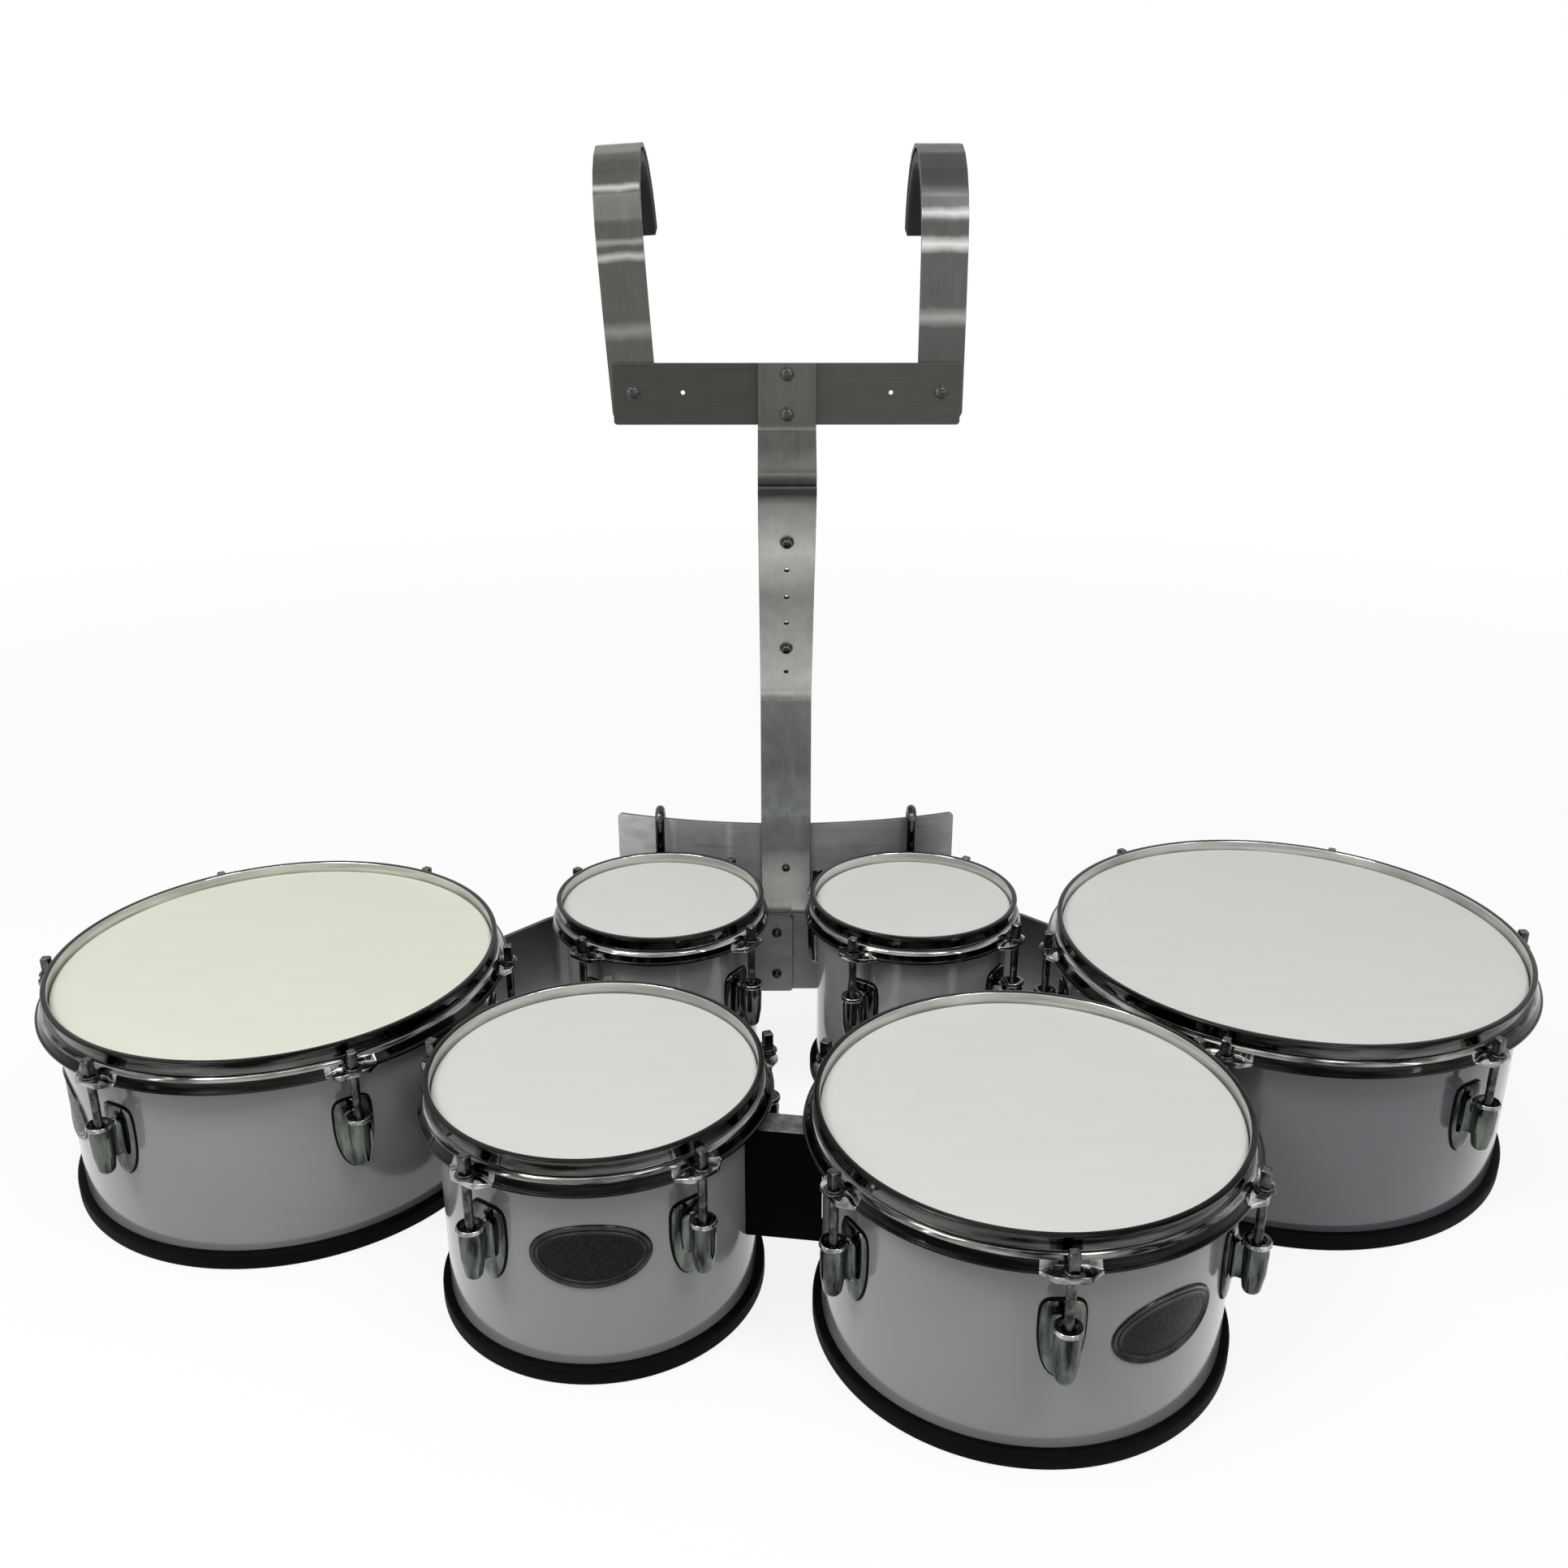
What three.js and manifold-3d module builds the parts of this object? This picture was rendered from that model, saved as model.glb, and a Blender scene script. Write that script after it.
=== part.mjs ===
import * as THREE from 'three';
import { mergeVertices } from 'three/addons/utils/BufferGeometryUtils.js';
import Module from 'manifold-3d';

// Marching tenor drums: six single-headed drums on one frame, with a shoulder carrier behind them.
// Lengths are in millimetres and angles in degrees. X runs across the player, from the 12 inch drum to
// the 13 inch drum, Y runs from the audience to the player, and Z is up from the floor.

const wasm = await Module();
wasm.setup();

// Clearances
const seatGap = 0.3;
const boreGap = 0.8;
const overrun = 1;
const weldTolerance = 0.0005;

// Nominal head diameters
const sixHead = 152.4;
const eightHead = 203.2;
const tenHead = 254;
const twelveHead = 304.8;
const thirteenHead = 330.2;

// Angles of a turn
const halfTurn = 180;
const quarterTurn = 90;

// Gaps between neighbouring hoops, and the outer drums' bearings, which turn from the audience towards +X
const sixToSix = 29.2;
const sixToTwelve = 39.1;
const sixToThirteen = 21.2;
const sixToEight = 52.6;
const twelveToEight = 18.2;
const eightToTen = 20.5;
const tenToThirteen = 6.7;
const twelveAngle = -71.2;
const thirteenAngle = 76.6;

// Shells and their edge guards
const headHeight = 154;
const shellInset = 1;
const shellWall = 6;
const guardReach = 5.7;
const guardHeight = 12.5;
const guardFloor = 2.7;

// Heads
const filmThickness = 0.6;
const filmReach = 0.9;
const fleshReach = 4.6;
const fleshDrop = 7;
const fleshHeight = 6;

// Hoops and their ears
const hoopRise = 7.3;
const hoopDrop = 13.5;
const hoopSheet = 2.8;
const collarThickness = 3.4;
const flangeThickness = 2.4;
const wideLip = 3.8;
const narrowLip = 1.5;
const earWidth = 40;
const earTipWidth = 17;
const earThickness = 4.2;
const earMargin = 4.5;

// Tension rods and lugs
const rodStandOff = 14;
const rodRadius = 3;
const rodHeadRadius = 5;
const rodHeadHeight = 13.8;
const rodBite = 19;
const lugDrop = 38;
const lugHeight = 52;
const lugWidth = 25.5;
const lugPlate = 4;
const lugRoot = 3;
const barrelDrop = 5.5;
const barrelHeight = 38;
const barrelRadius = 8;
const barrelTipRadius = 4;
const barrelTaper = 10;
const webWidth = 7;

// Badges
const badgeWidth = 74;
const badgeHeight = 45;
const badgeThickness = 1.5;
const highBadge = 91;
const lowBadge = 83;

// Bridges between the shells of the four larger drums
const bridgeHeight = 80;
const bridgeBottom = 54;
const bridgeDepth = 20;
const bridgeWall = 4;
const frontBridgeShift = -10;
const leftBridgeShift = -6;
const rightBridgeShift = 4;

// Spine bands behind the two small drums
const bandThickness = 4;
const bandHeight = 73;
const bandBottom = 23;
const bandSpacer = 14.8;
const spacerWidth = 24;
const bandBendX = 201;
const bandLeftEnd = 6;
const bandRightEnd = 24;
const leftFootAngle = 137;
const rightFootAngle = -132;
const footSweepAngle = 14;
const bandScrewX = 8;
const lowScrewRise = 17;
const screwPitch = 40;

// Belly plate and pad
const plateWidth = 291;
const plateHeight = 78;
const plateThickness = 3;
const plateSag = 26;
const plateLift = 3.5;
const padThickness = 12;
const padInset = 10;
const padTopInset = 13;

// Bars of the carrier
const barWidth = 42;
const barThickness = 3;
const barTuck = 8;
const studHeight = 138;
const barKneeLift = 8;
const lowBendBack = 8;
const lowBendHeight = 292;
const topBendForward = 112;
const barHoles = 6;
const holePitch = 28.8;
const firstHole = 29;
const lastHoleMargin = 51.7;
const holeRadius = 3.1;
const slideTravel = 28.8;
const lapStart = 15;
const neckBack = 33;
const neckRise = 35;
const crossbarLift = 1.7;
const crossbarLength = 249;
const crossbarHeight = 43;
const rivetInset = 7.5;
const hookSpacing = 220;
const spareHoleStep = 35.5;
const hookScrewRise = 22.5;

// Shoulder hooks and pads: a leg with a slight bend, then an arc folded in short flats
const hookWidth = 33;
const hookRadius = 71.5;
const hookLegRise = 74.5;
const legBendRise = 29;
const legLean = 2.5;
const hookFootInset = 4;
const hookSweepAngle = 172;
const hookFacets = 11;
const leftHookTiltAngle = -3.6;
const rightHookTiltAngle = 0;
const hookPadThickness = 11;
const hookPadWidth = 32;

// J rods, which stand at a share of the belly plate's half width, their clamps and knobs
const jRodShare = 0.7423;
const jRodRadius = 4;
const jRodBottom = 20;
const jTail = 8;
const clampWidth = 26;
const clampHeight = 36;
const clampRise = 19;
const clampMargin = 4.5;
const knobRadius = 11;
const knobLength = 12;
const knobNeck = 4;

// Screws, bolts and nuts
const screwRadius = 2.5;
const screwHeadRadius = 4.5;
const screwHeadHeight = 3;
const nutHeight = 4;

// Outline shares: across the half width, and up the height
const lugOutlineShares = [
  [0.4, 0], [0.95, 0.5], [1, 0.9], [0.8, 1], [-0.8, 1], [-1, 0.9], [-0.95, 0.5], [-0.4, 0],
];
const barrelShoulderShare = 0.8;

// Colours, roughness and metalness
const material = (color, roughness, metalness) => (
  new THREE.MeshStandardMaterial({ color, roughness, metalness })
);
const whiteLacquer = () => material(0xeef0ef, 0.15, 0);
const chrome = () => material(0xc4c6c8, 0.1, 1);
const film = () => material(0xdcddd6, 0.6, 0);
const rubber = () => material(0x141515, 0.7, 0);
const aluminium = () => material(0xa3a6a4, 0.35, 1);
const steel = () => material(0x8a8d8f, 0.3, 1);
const blackPaint = () => material(0x1a1b1d, 0.45, 0.2);
const foam = () => material(0x17181a, 0.9, 0);
const badgeMetal = () => material(0x4f5653, 0.4, 0.8);

// Geometry helpers
const radians = (angle) => THREE.MathUtils.degToRad(angle);
const bearing = (angle, radius) => (
  new THREE.Vector2(radius * Math.sin(radians(angle)), -radius * Math.cos(radians(angle)))
);
const axisX = new THREE.Vector3(1, 0, 0);
const axisY = new THREE.Vector3(0, 1, 0);
const axisZ = new THREE.Vector3(0, 0, 1);

function solidOf(geometry) {
  geometry.deleteAttribute('normal');
  geometry.deleteAttribute('uv');
  const merged = mergeVertices(geometry, weldTolerance);
  const index = merged.getIndex().array;
  const triVerts = [];
  for (let i = 0; i < index.length; i += 3) {
    const corners = index.slice(i, i + 3);
    if (new Set(corners).size === 3) triVerts.push(...corners);
  }
  return new wasm.Manifold(new wasm.Mesh({
    numProp: 3,
    vertProperties: merged.getAttribute('position').array,
    triVerts: new Uint32Array(triVerts),
  }));
}

function geometryOf(solid) {
  const mesh = solid.getMesh();
  const geometry = new THREE.BufferGeometry();
  geometry.setAttribute('position', new THREE.BufferAttribute(mesh.vertProperties, mesh.numProp));
  geometry.setIndex(new THREE.BufferAttribute(mesh.triVerts, 1));
  geometry.computeVertexNormals();
  return geometry;
}

const join = (first, ...others) => others.reduce((whole, other) => whole.add(other), first);
const cut = (first, ...others) => others.reduce((whole, other) => whole.subtract(other), first);

// Turns a closed profile of radius and height about the Z axis
function revolve(profile, segments) {
  const points = profile.map(([radius, height]) => new THREE.Vector2(radius, height));
  if (profile[0][0] > 0) points.push(points[0].clone());
  return new THREE.LatheGeometry(points, segments).rotateX(Math.PI / 2);
}

// A closed outline pushed up by a height
function prism(outline, height) {
  const shape = new THREE.Shape(outline.map(([x, y]) => new THREE.Vector2(x, y)));
  return new THREE.ExtrudeGeometry(shape, { depth: height, bevelEnabled: false });
}

// An outline of Y and Z pushed across X, centred on it
function crosswise(outline, width) {
  const turn = new THREE.Matrix4().makeBasis(axisY, axisZ, axisX);
  return prism(outline, width).applyMatrix4(turn).translate(-width / 2, 0, 0);
}

// An outline of X and Z pushed towards the audience from a given Y
function forwards(outline, depth, from) {
  const turn = new THREE.Matrix4().makeBasis(axisX, axisZ, axisY.clone().negate());
  return prism(outline, depth).applyMatrix4(turn).translate(0, from, 0);
}

// The outline of a flat bar bent along a path, as thick to each side of it
function strip(path, thickness) {
  const points = path.map(([x, y]) => new THREE.Vector2(x, y));
  const sides = [[], []];
  points.forEach((point, i) => {
    const before = point.clone().sub(points[Math.max(i - 1, 0)]).normalize();
    const after = points[Math.min(i + 1, points.length - 1)].clone().sub(point).normalize();
    const along = before.clone().add(after).normalize();
    const leg = before.lengthSq() > 0 ? before : after;
    const reach = thickness / 2 / along.dot(leg);
    const across = new THREE.Vector2(-along.y, along.x).multiplyScalar(reach);
    sides[0].push(point.clone().sub(across).toArray());
    sides[1].unshift(point.clone().add(across).toArray());
  });
  return [...sides[0], ...sides[1]];
}

const rectangle = (left, right, low, high) => [[left, low], [right, low], [right, high], [left, high]];

// Points of an arc, counted from its own first angle to its last
function arcPoints(centre, radius, from, to, steps) {
  return Array.from({ length: steps + 1 }, (unused, i) => {
    const angle = radians(from + (to - from) * i / steps);
    return [centre[0] + radius * Math.cos(angle), centre[1] + radius * Math.sin(angle)];
  });
}

// A round bar along Y between two places
function pinAlongY(radius, from, to, segments) {
  const profile = [[0, from], [radius, from], [radius, to], [0, to]];
  return revolve(profile, segments).rotateX(-Math.PI / 2);
}

// A bolt along Y: its head in front, its shank through a stack of bars and its nut behind
function boltAlongY(front, back) {
  const headFront = front - seatGap - screwHeadHeight;
  const nutBack = back + seatGap + nutHeight;
  return revolve([
    [0, headFront], [screwHeadRadius, headFront], [screwHeadRadius, front - seatGap],
    [screwRadius, front - seatGap], [screwRadius, back + seatGap],
    [screwHeadRadius, back + seatGap], [screwHeadRadius, nutBack], [0, nutBack],
  ], 6).rotateX(-Math.PI / 2);
}

const model = new THREE.Group();

function addPiece(parent, name, solid, finish) {
  const mesh = new THREE.Mesh(geometryOf(solid), finish());
  mesh.name = name;
  parent.add(mesh);
}

// The six drums, with the bearings of the first lug and the badge from the audience
const drums = {
  six_left: { head: sixHead, lugs: 4, firstLug: 53.5, segments: 24, lip: narrowLip },
  six_right: { head: sixHead, lugs: 4, firstLug: 55.5, segments: 24, lip: narrowLip },
  eight: {
    head: eightHead, lugs: 5, firstLug: 38, segments: 25, lip: wideLip,
    badge: 3, badgeMiddle: highBadge,
  },
  ten: {
    head: tenHead, lugs: 6, firstLug: 0, segments: 30, lip: wideLip,
    badge: 30, badgeMiddle: lowBadge, looseRods: true,
  },
  twelve: {
    head: twelveHead, lugs: 6, firstLug: 33, segments: 30, lip: wideLip,
    badge: -57, badgeMiddle: lowBadge,
  },
  thirteen: { head: thirteenHead, lugs: 6, firstLug: 30, segments: 30, lip: wideLip },
};

// Radii that every drum takes from its own head
for (const drum of Object.values(drums)) {
  const nominal = drum.head / 2;
  drum.nominal = nominal;
  drum.shellOut = nominal - shellInset;
  drum.shellIn = drum.shellOut - shellWall;
  drum.wallIn = nominal + fleshReach + seatGap;
  drum.wallOut = drum.wallIn + hoopSheet;
  drum.hoopOut = drum.wallOut + drum.lip;
  drum.rodCircle = nominal + rodStandOff;
}

// The place in front of two drums at given hoop gaps from both
function inFrontOf(left, right, drum, leftGap, rightGap) {
  const toLeft = left.hoopOut + drum.hoopOut + leftGap;
  const toRight = right.hoopOut + drum.hoopOut + rightGap;
  const span = right.place.clone().sub(left.place);
  const apart = span.length();
  const along = (toLeft ** 2 - toRight ** 2 + apart ** 2) / (2 * apart);
  const ahead = Math.sqrt(toLeft ** 2 - along ** 2);
  const unit = span.normalize();
  const front = new THREE.Vector2(unit.y, -unit.x);
  return left.place.clone().addScaledVector(unit, along).addScaledVector(front, ahead);
}

function besideDrum(inner, outer, angle, gap) {
  return inner.place.clone().add(bearing(angle, inner.hoopOut + outer.hoopOut + gap));
}

const { six_left: sixLeft, six_right: sixRight, eight, ten, twelve, thirteen } = drums;
sixLeft.place = new THREE.Vector2(-sixLeft.hoopOut - sixToSix / 2, 0);
sixRight.place = new THREE.Vector2(sixRight.hoopOut + sixToSix / 2, 0);
twelve.place = besideDrum(sixLeft, twelve, twelveAngle, sixToTwelve);
thirteen.place = besideDrum(sixRight, thirteen, thirteenAngle, sixToThirteen);
eight.place = inFrontOf(twelve, sixLeft, eight, twelveToEight, sixToEight);
ten.place = inFrontOf(eight, thirteen, ten, eightToTen, tenToThirteen);

// Heights that the drums share
const shellBottom = guardFloor + seatGap;
const shellTop = headHeight - filmThickness - seatGap;
const fleshTop = headHeight - fleshDrop;
const fleshBottom = fleshTop - fleshHeight;
const hoopBottom = headHeight - hoopDrop;
const earTop = hoopBottom + earThickness;
const lugTop = headHeight - lugDrop;
const lugBottom = lugTop - lugHeight;
const barrelTop = lugTop - barrelDrop;
const barrelBottom = barrelTop - barrelHeight;
const boreRadius = rodRadius + boreGap;

const lugAngles = (drum) => (
  Array.from({ length: drum.lugs }, (unused, i) => radians(drum.firstLug + i * 360 / drum.lugs))
);

// A lug on the audience side of its drum: an oval plate, a tapered barrel and the web between them
function lugSolid(drum) {
  const outline = lugOutlineShares.map(([across, up]) => (
    [across * lugWidth / 2, lugBottom + up * lugHeight]
  ));
  const plate = forwards(outline, lugPlate + lugRoot, lugRoot - drum.shellOut);
  const shoulder = barrelRadius * barrelShoulderShare;
  const barrel = revolve([
    [0, barrelBottom], [barrelTipRadius, barrelBottom], [shoulder, barrelBottom + barrelTaper],
    [barrelRadius, barrelTop], [0, barrelTop],
  ], 6).translate(0, -drum.rodCircle, 0);
  const webTop = barrelTop - seatGap;
  const web = forwards(
    rectangle(-webWidth / 2, webWidth / 2, barrelBottom + barrelTaper, webTop),
    drum.rodCircle - drum.shellOut,
    -drum.shellOut,
  );
  const bore = revolve([
    [0, barrelTop - rodBite - seatGap], [boreRadius, barrelTop - rodBite - seatGap],
    [boreRadius, barrelTop + overrun], [0, barrelTop + overrun],
  ], 6).translate(0, -drum.rodCircle, 0);
  return cut(join(solidOf(plate), solidOf(web), solidOf(barrel)), solidOf(bore));
}

// The turned copies of one piece at a drum's lugs
function atLugs(drum, makeGeometry) {
  return lugAngles(drum).map((angle) => solidOf(makeGeometry(drum).rotateZ(angle)));
}

function shellSolid(drum) {
  const ring = revolve([
    [drum.shellIn, shellBottom], [drum.shellOut, shellBottom],
    [drum.shellOut, shellTop], [drum.shellIn, shellTop],
  ], drum.segments);
  const lug = lugSolid(drum);
  const lugs = lugAngles(drum).map((angle) => solidOf(geometryOf(lug).rotateZ(angle)));
  return join(solidOf(ring), ...lugs);
}

function guardSolid(drum) {
  const reach = drum.shellOut + guardReach;
  const wrap = drum.shellOut + seatGap;
  return solidOf(revolve([
    [drum.shellIn, 0], [reach, 0], [reach, guardHeight],
    [wrap, guardHeight], [wrap, guardFloor], [drum.shellIn, guardFloor],
  ], drum.segments));
}

// The head: a film over the shell's edge, crimped in a ring that the hoop pulls down
function headSolid(drum) {
  const under = headHeight - filmThickness;
  const collarIn = drum.shellOut + seatGap;
  const collarOut = drum.nominal + filmReach;
  const ringOut = drum.nominal + fleshReach;
  return solidOf(revolve([
    [0, under], [collarIn, under], [collarIn, fleshBottom], [ringOut, fleshBottom],
    [ringOut, fleshTop], [collarOut, fleshTop], [collarOut, headHeight], [0, headHeight],
  ], drum.segments));
}

function earGeometry(drum) {
  const root = -(drum.wallIn + hoopSheet / 2);
  const tip = -(drum.rodCircle + earMargin);
  const outline = [
    [-earTipWidth / 2, tip], [earTipWidth / 2, tip], [earWidth / 2, root], [-earWidth / 2, root],
  ];
  return prism(outline, earThickness).translate(0, 0, hoopBottom);
}

function rodGeometry(drum) {
  const end = barrelTop - rodBite;
  const headFoot = drum.looseRods ? earTop + seatGap : earTop;
  const headTop = earTop + rodHeadHeight;
  return revolve([
    [0, end], [rodRadius, end], [rodRadius, headFoot],
    [rodHeadRadius, headFoot], [rodHeadRadius, headTop], [0, headTop],
  ], 6).translate(0, -drum.rodCircle, 0);
}

function earHoleGeometry(drum) {
  return revolve([
    [0, hoopBottom - overrun], [boreRadius, hoopBottom - overrun],
    [boreRadius, earTop + overrun], [0, earTop + overrun],
  ], 6).translate(0, -drum.rodCircle, 0);
}

// The hoop, with its ears; its rods are joined to it unless they turn by themselves
function hoopSolid(drum) {
  const collarIn = drum.nominal + filmReach + seatGap;
  const collarOut = collarIn + collarThickness;
  const step = fleshTop + seatGap;
  const top = headHeight + hoopRise;
  const ring = solidOf(revolve([
    [collarIn, step], [drum.wallIn, step], [drum.wallIn, hoopBottom], [drum.hoopOut, hoopBottom],
    [drum.hoopOut, hoopBottom + flangeThickness], [drum.wallOut, hoopBottom + flangeThickness],
    [drum.wallOut, step + hoopSheet], [collarOut, step + hoopSheet], [collarOut, top], [collarIn, top],
  ], drum.segments));
  const eared = join(ring, ...atLugs(drum, earGeometry));
  if (drum.looseRods) return cut(eared, ...atLugs(drum, earHoleGeometry));
  return join(eared, ...atLugs(drum, rodGeometry));
}

// An oval badge bent to its shell
function badgeSolid(drum) {
  const oval = Array.from({ length: 16 }, (unused, i) => {
    const angle = i * 2 * Math.PI / 16;
    const across = badgeWidth / 2 * Math.cos(angle);
    return [across, drum.badgeMiddle + badgeHeight / 2 * Math.sin(angle)];
  });
  const inner = drum.shellOut + seatGap;
  const low = drum.badgeMiddle - badgeHeight;
  const high = drum.badgeMiddle + badgeHeight;
  const ring = solidOf(revolve([
    [inner, low], [inner + badgeThickness, low], [inner + badgeThickness, high], [inner, high],
  ], drum.segments));
  const reach = drum.nominal + badgeThickness;
  const die = solidOf(forwards(oval, reach, 0).rotateZ(radians(drum.badge)));
  return ring.intersect(die);
}

// A cylinder that clears a drum's shell, where the drum stands
function shellCutter(drum) {
  const radius = drum.shellOut + seatGap;
  return solidOf(revolve(
    [[0, -overrun], [radius, -overrun], [radius, headHeight], [0, headHeight]],
    drum.segments,
  ).translate(drum.place.x, drum.place.y, 0));
}

for (const [name, drum] of Object.entries(drums)) {
  const group = new THREE.Group();
  group.position.set(drum.place.x, drum.place.y, 0);
  addPiece(group, `${name}_shell`, shellSolid(drum), whiteLacquer);
  addPiece(group, `${name}_edge_guard`, guardSolid(drum), rubber);
  addPiece(group, `${name}_head`, headSolid(drum), film);
  addPiece(group, `${name}_hoop`, hoopSolid(drum), chrome);
  if (drum.badge !== undefined) addPiece(group, `${name}_badge`, badgeSolid(drum), badgeMetal);
  if (drum.looseRods) {
    atLugs(drum, rodGeometry).forEach((rod, i) => {
      addPiece(group, `${name}_tension_rod_${i + 1}`, rod, steel);
    });
  }
  model.add(group);
}

// A channel from shell to shell, open towards the player side
function bridgeSolid(from, to, shift) {
  const span = to.place.clone().sub(from.place);
  const length = span.length();
  const half = bridgeDepth / 2;
  const top = bridgeBottom + bridgeHeight;
  const inside = rectangle(
    half - bridgeDepth + bridgeWall, half + overrun, bridgeBottom + bridgeWall, top - bridgeWall,
  );
  const body = solidOf(crosswise(rectangle(-half, half, bridgeBottom, top), length));
  const channel = cut(body, solidOf(crosswise(inside, length)));
  const middle = from.place.clone().addScaledVector(span, 0.5);
  const turned = geometryOf(channel)
    .translate(0, shift, 0)
    .rotateZ(span.angle())
    .translate(middle.x, middle.y, 0);
  return cut(solidOf(turned), shellCutter(from), shellCutter(to));
}

addPiece(model, 'bridge_eight_ten', bridgeSolid(eight, ten, frontBridgeShift), blackPaint);
addPiece(model, 'bridge_twelve_eight', bridgeSolid(twelve, eight, -leftBridgeShift), blackPaint);
addPiece(model, 'bridge_ten_thirteen', bridgeSolid(ten, thirteen, rightBridgeShift), blackPaint);

// Planes of the flat bars behind the small drums, from the audience to the player
const leftBandFront = sixLeft.shellOut + bandSpacer;
const leftBandBack = leftBandFront + bandThickness;
const rightBandFront = leftBandBack + seatGap;
const rightBandBack = rightBandFront + bandThickness;
const lowBarFront = rightBandBack + seatGap;
const lowBarBack = lowBarFront + barThickness;
const plateFront = lowBarBack + seatGap;
const bandTop = bandBottom + bandHeight;
const lowScrewHeight = bandBottom + lowScrewRise;
const highScrewHeight = lowScrewHeight + screwPitch;

// One half of the spine: straight behind a small drum, bent forward to a foot on the outer drum's shell
function bandSolid(side, inner, outer, front, innerEnd, footAngle) {
  const middle = front + bandThickness / 2;
  const footRadius = outer.shellOut + seatGap + bandThickness / 2;
  const footAngles = Array.from({ length: 4 }, (unused, i) => footAngle + side * footSweepAngle * i / 3);
  const foot = footAngles.map((angle) => outer.place.clone().add(bearing(angle, footRadius)).toArray());
  const path = [[-side * innerEnd, middle], [side * bandBendX, middle], ...foot];
  const band = prism(strip(path, bandThickness), bandHeight);
  const spacer = prism(rectangle(
    inner.place.x - spacerWidth / 2, inner.place.x + spacerWidth / 2, 0, middle,
  ), bandHeight);
  const holes = [lowScrewHeight, highScrewHeight].map((height) => (
    solidOf(pinAlongY(holeRadius, 0, plateFront, 6).translate(-bandScrewX, 0, height))
  ));
  const whole = join(
    solidOf(band.translate(0, 0, bandBottom)),
    solidOf(spacer.translate(0, 0, bandBottom)),
  );
  return cut(whole, shellCutter(inner), ...holes);
}

addPiece(
  model, 'spine_band_left',
  bandSolid(-1, sixLeft, twelve, leftBandFront, bandLeftEnd, leftFootAngle), aluminium,
);
addPiece(
  model, 'spine_band_right',
  bandSolid(1, sixRight, thirteen, rightBandFront, bandRightEnd, rightFootAngle), aluminium,
);
const bandScrew = (height) => (
  solidOf(boltAlongY(leftBandFront, rightBandBack).translate(-bandScrewX, 0, height))
);
addPiece(model, 'band_screw_low', bandScrew(lowScrewHeight), steel);
addPiece(model, 'band_screw_high', bandScrew(highScrewHeight), steel);

// The belly plate's curve, seen from above
const plateRadius = ((plateWidth / 2) ** 2 + plateSag ** 2) / (2 * plateSag);
const plateMiddle = plateFront + plateThickness / 2;
const plateCentre = [0, plateMiddle + plateRadius];
const plateBottom = bandTop + plateLift;
const plateTop = plateBottom + plateHeight;

function alongPlate(radius, width) {
  const half = THREE.MathUtils.radToDeg(Math.asin(width / 2 / plateRadius));
  return arcPoints(plateCentre, radius, -quarterTurn - half, -quarterTurn + half, 10);
}

const plateSweep = prism(strip(alongPlate(plateRadius, plateWidth), plateThickness), plateHeight);
const studHead = pinAlongY(
  screwHeadRadius, lowBarFront - seatGap - screwHeadHeight, lowBarFront - seatGap, 6,
);
const stud = pinAlongY(screwRadius, lowBarFront - seatGap - overrun, plateMiddle, 6);
addPiece(model, 'belly_plate', join(
  solidOf(plateSweep.translate(0, 0, plateBottom)),
  solidOf(stud.translate(0, 0, studHeight)),
  solidOf(studHead.translate(0, 0, studHeight)),
), aluminium);

const padRadius = plateRadius - plateThickness / 2 - seatGap - padThickness / 2;
const bellyPad = prism(
  strip(alongPlate(padRadius, plateWidth - 2 * padInset), padThickness),
  plateHeight - padInset - padTopInset,
);
addPiece(model, 'belly_pad', solidOf(bellyPad.translate(0, 0, plateBottom + padInset)), foam);

// The lower bar's middle line in Y and Z, and the slope that the two bars share
const lowBarMiddle = lowBarFront + barThickness / 2;
const holePlaces = Array.from({ length: barHoles }, (unused, i) => firstHole + i * holePitch);
const lowBoltPlace = holePlaces[1];
const highBoltPlace = holePlaces[barHoles - 1];
const slopeLength = highBoltPlace + lastHoleMargin;
const slopeDepth = lowBendBack + topBendForward;
const slopeRise = Math.sqrt(slopeLength ** 2 - slopeDepth ** 2);
const lowBend = new THREE.Vector2(lowBarMiddle + lowBendBack, lowBendHeight);
const topBend = new THREE.Vector2(lowBarMiddle - topBendForward, lowBendHeight + slopeRise);
const slopeUp = topBend.clone().sub(lowBend).normalize();
const slopeBack = new THREE.Vector2(slopeUp.y, -slopeUp.x);
const slopeTilt = slopeBack.angle();
const lapLayer = barThickness + seatGap;
const onSlope = (along, back) => (
  lowBend.clone().addScaledVector(slopeUp, along).addScaledVector(slopeBack, back)
);

// Turns a piece that lies along Y square to the slope, at a distance along it
function squareToSlope(geometry, along) {
  const place = onSlope(along, 0);
  return geometry.rotateX(slopeTilt).translate(0, place.x, place.y);
}

const lowBarPath = [
  [lowBarMiddle, bandTop - barTuck], [lowBarMiddle, plateTop + barKneeLift],
  lowBend.toArray(), topBend.toArray(),
];
const barHole = () => pinAlongY(holeRadius, -barWidth / 2, barWidth / 2, 6);
addPiece(model, 'lower_bar', cut(
  solidOf(crosswise(strip(lowBarPath, barThickness), barWidth)),
  ...holePlaces.map((place) => solidOf(squareToSlope(barHole(), place))),
  solidOf(barHole().translate(0, lowBarMiddle, studHeight)),
), aluminium);

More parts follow.
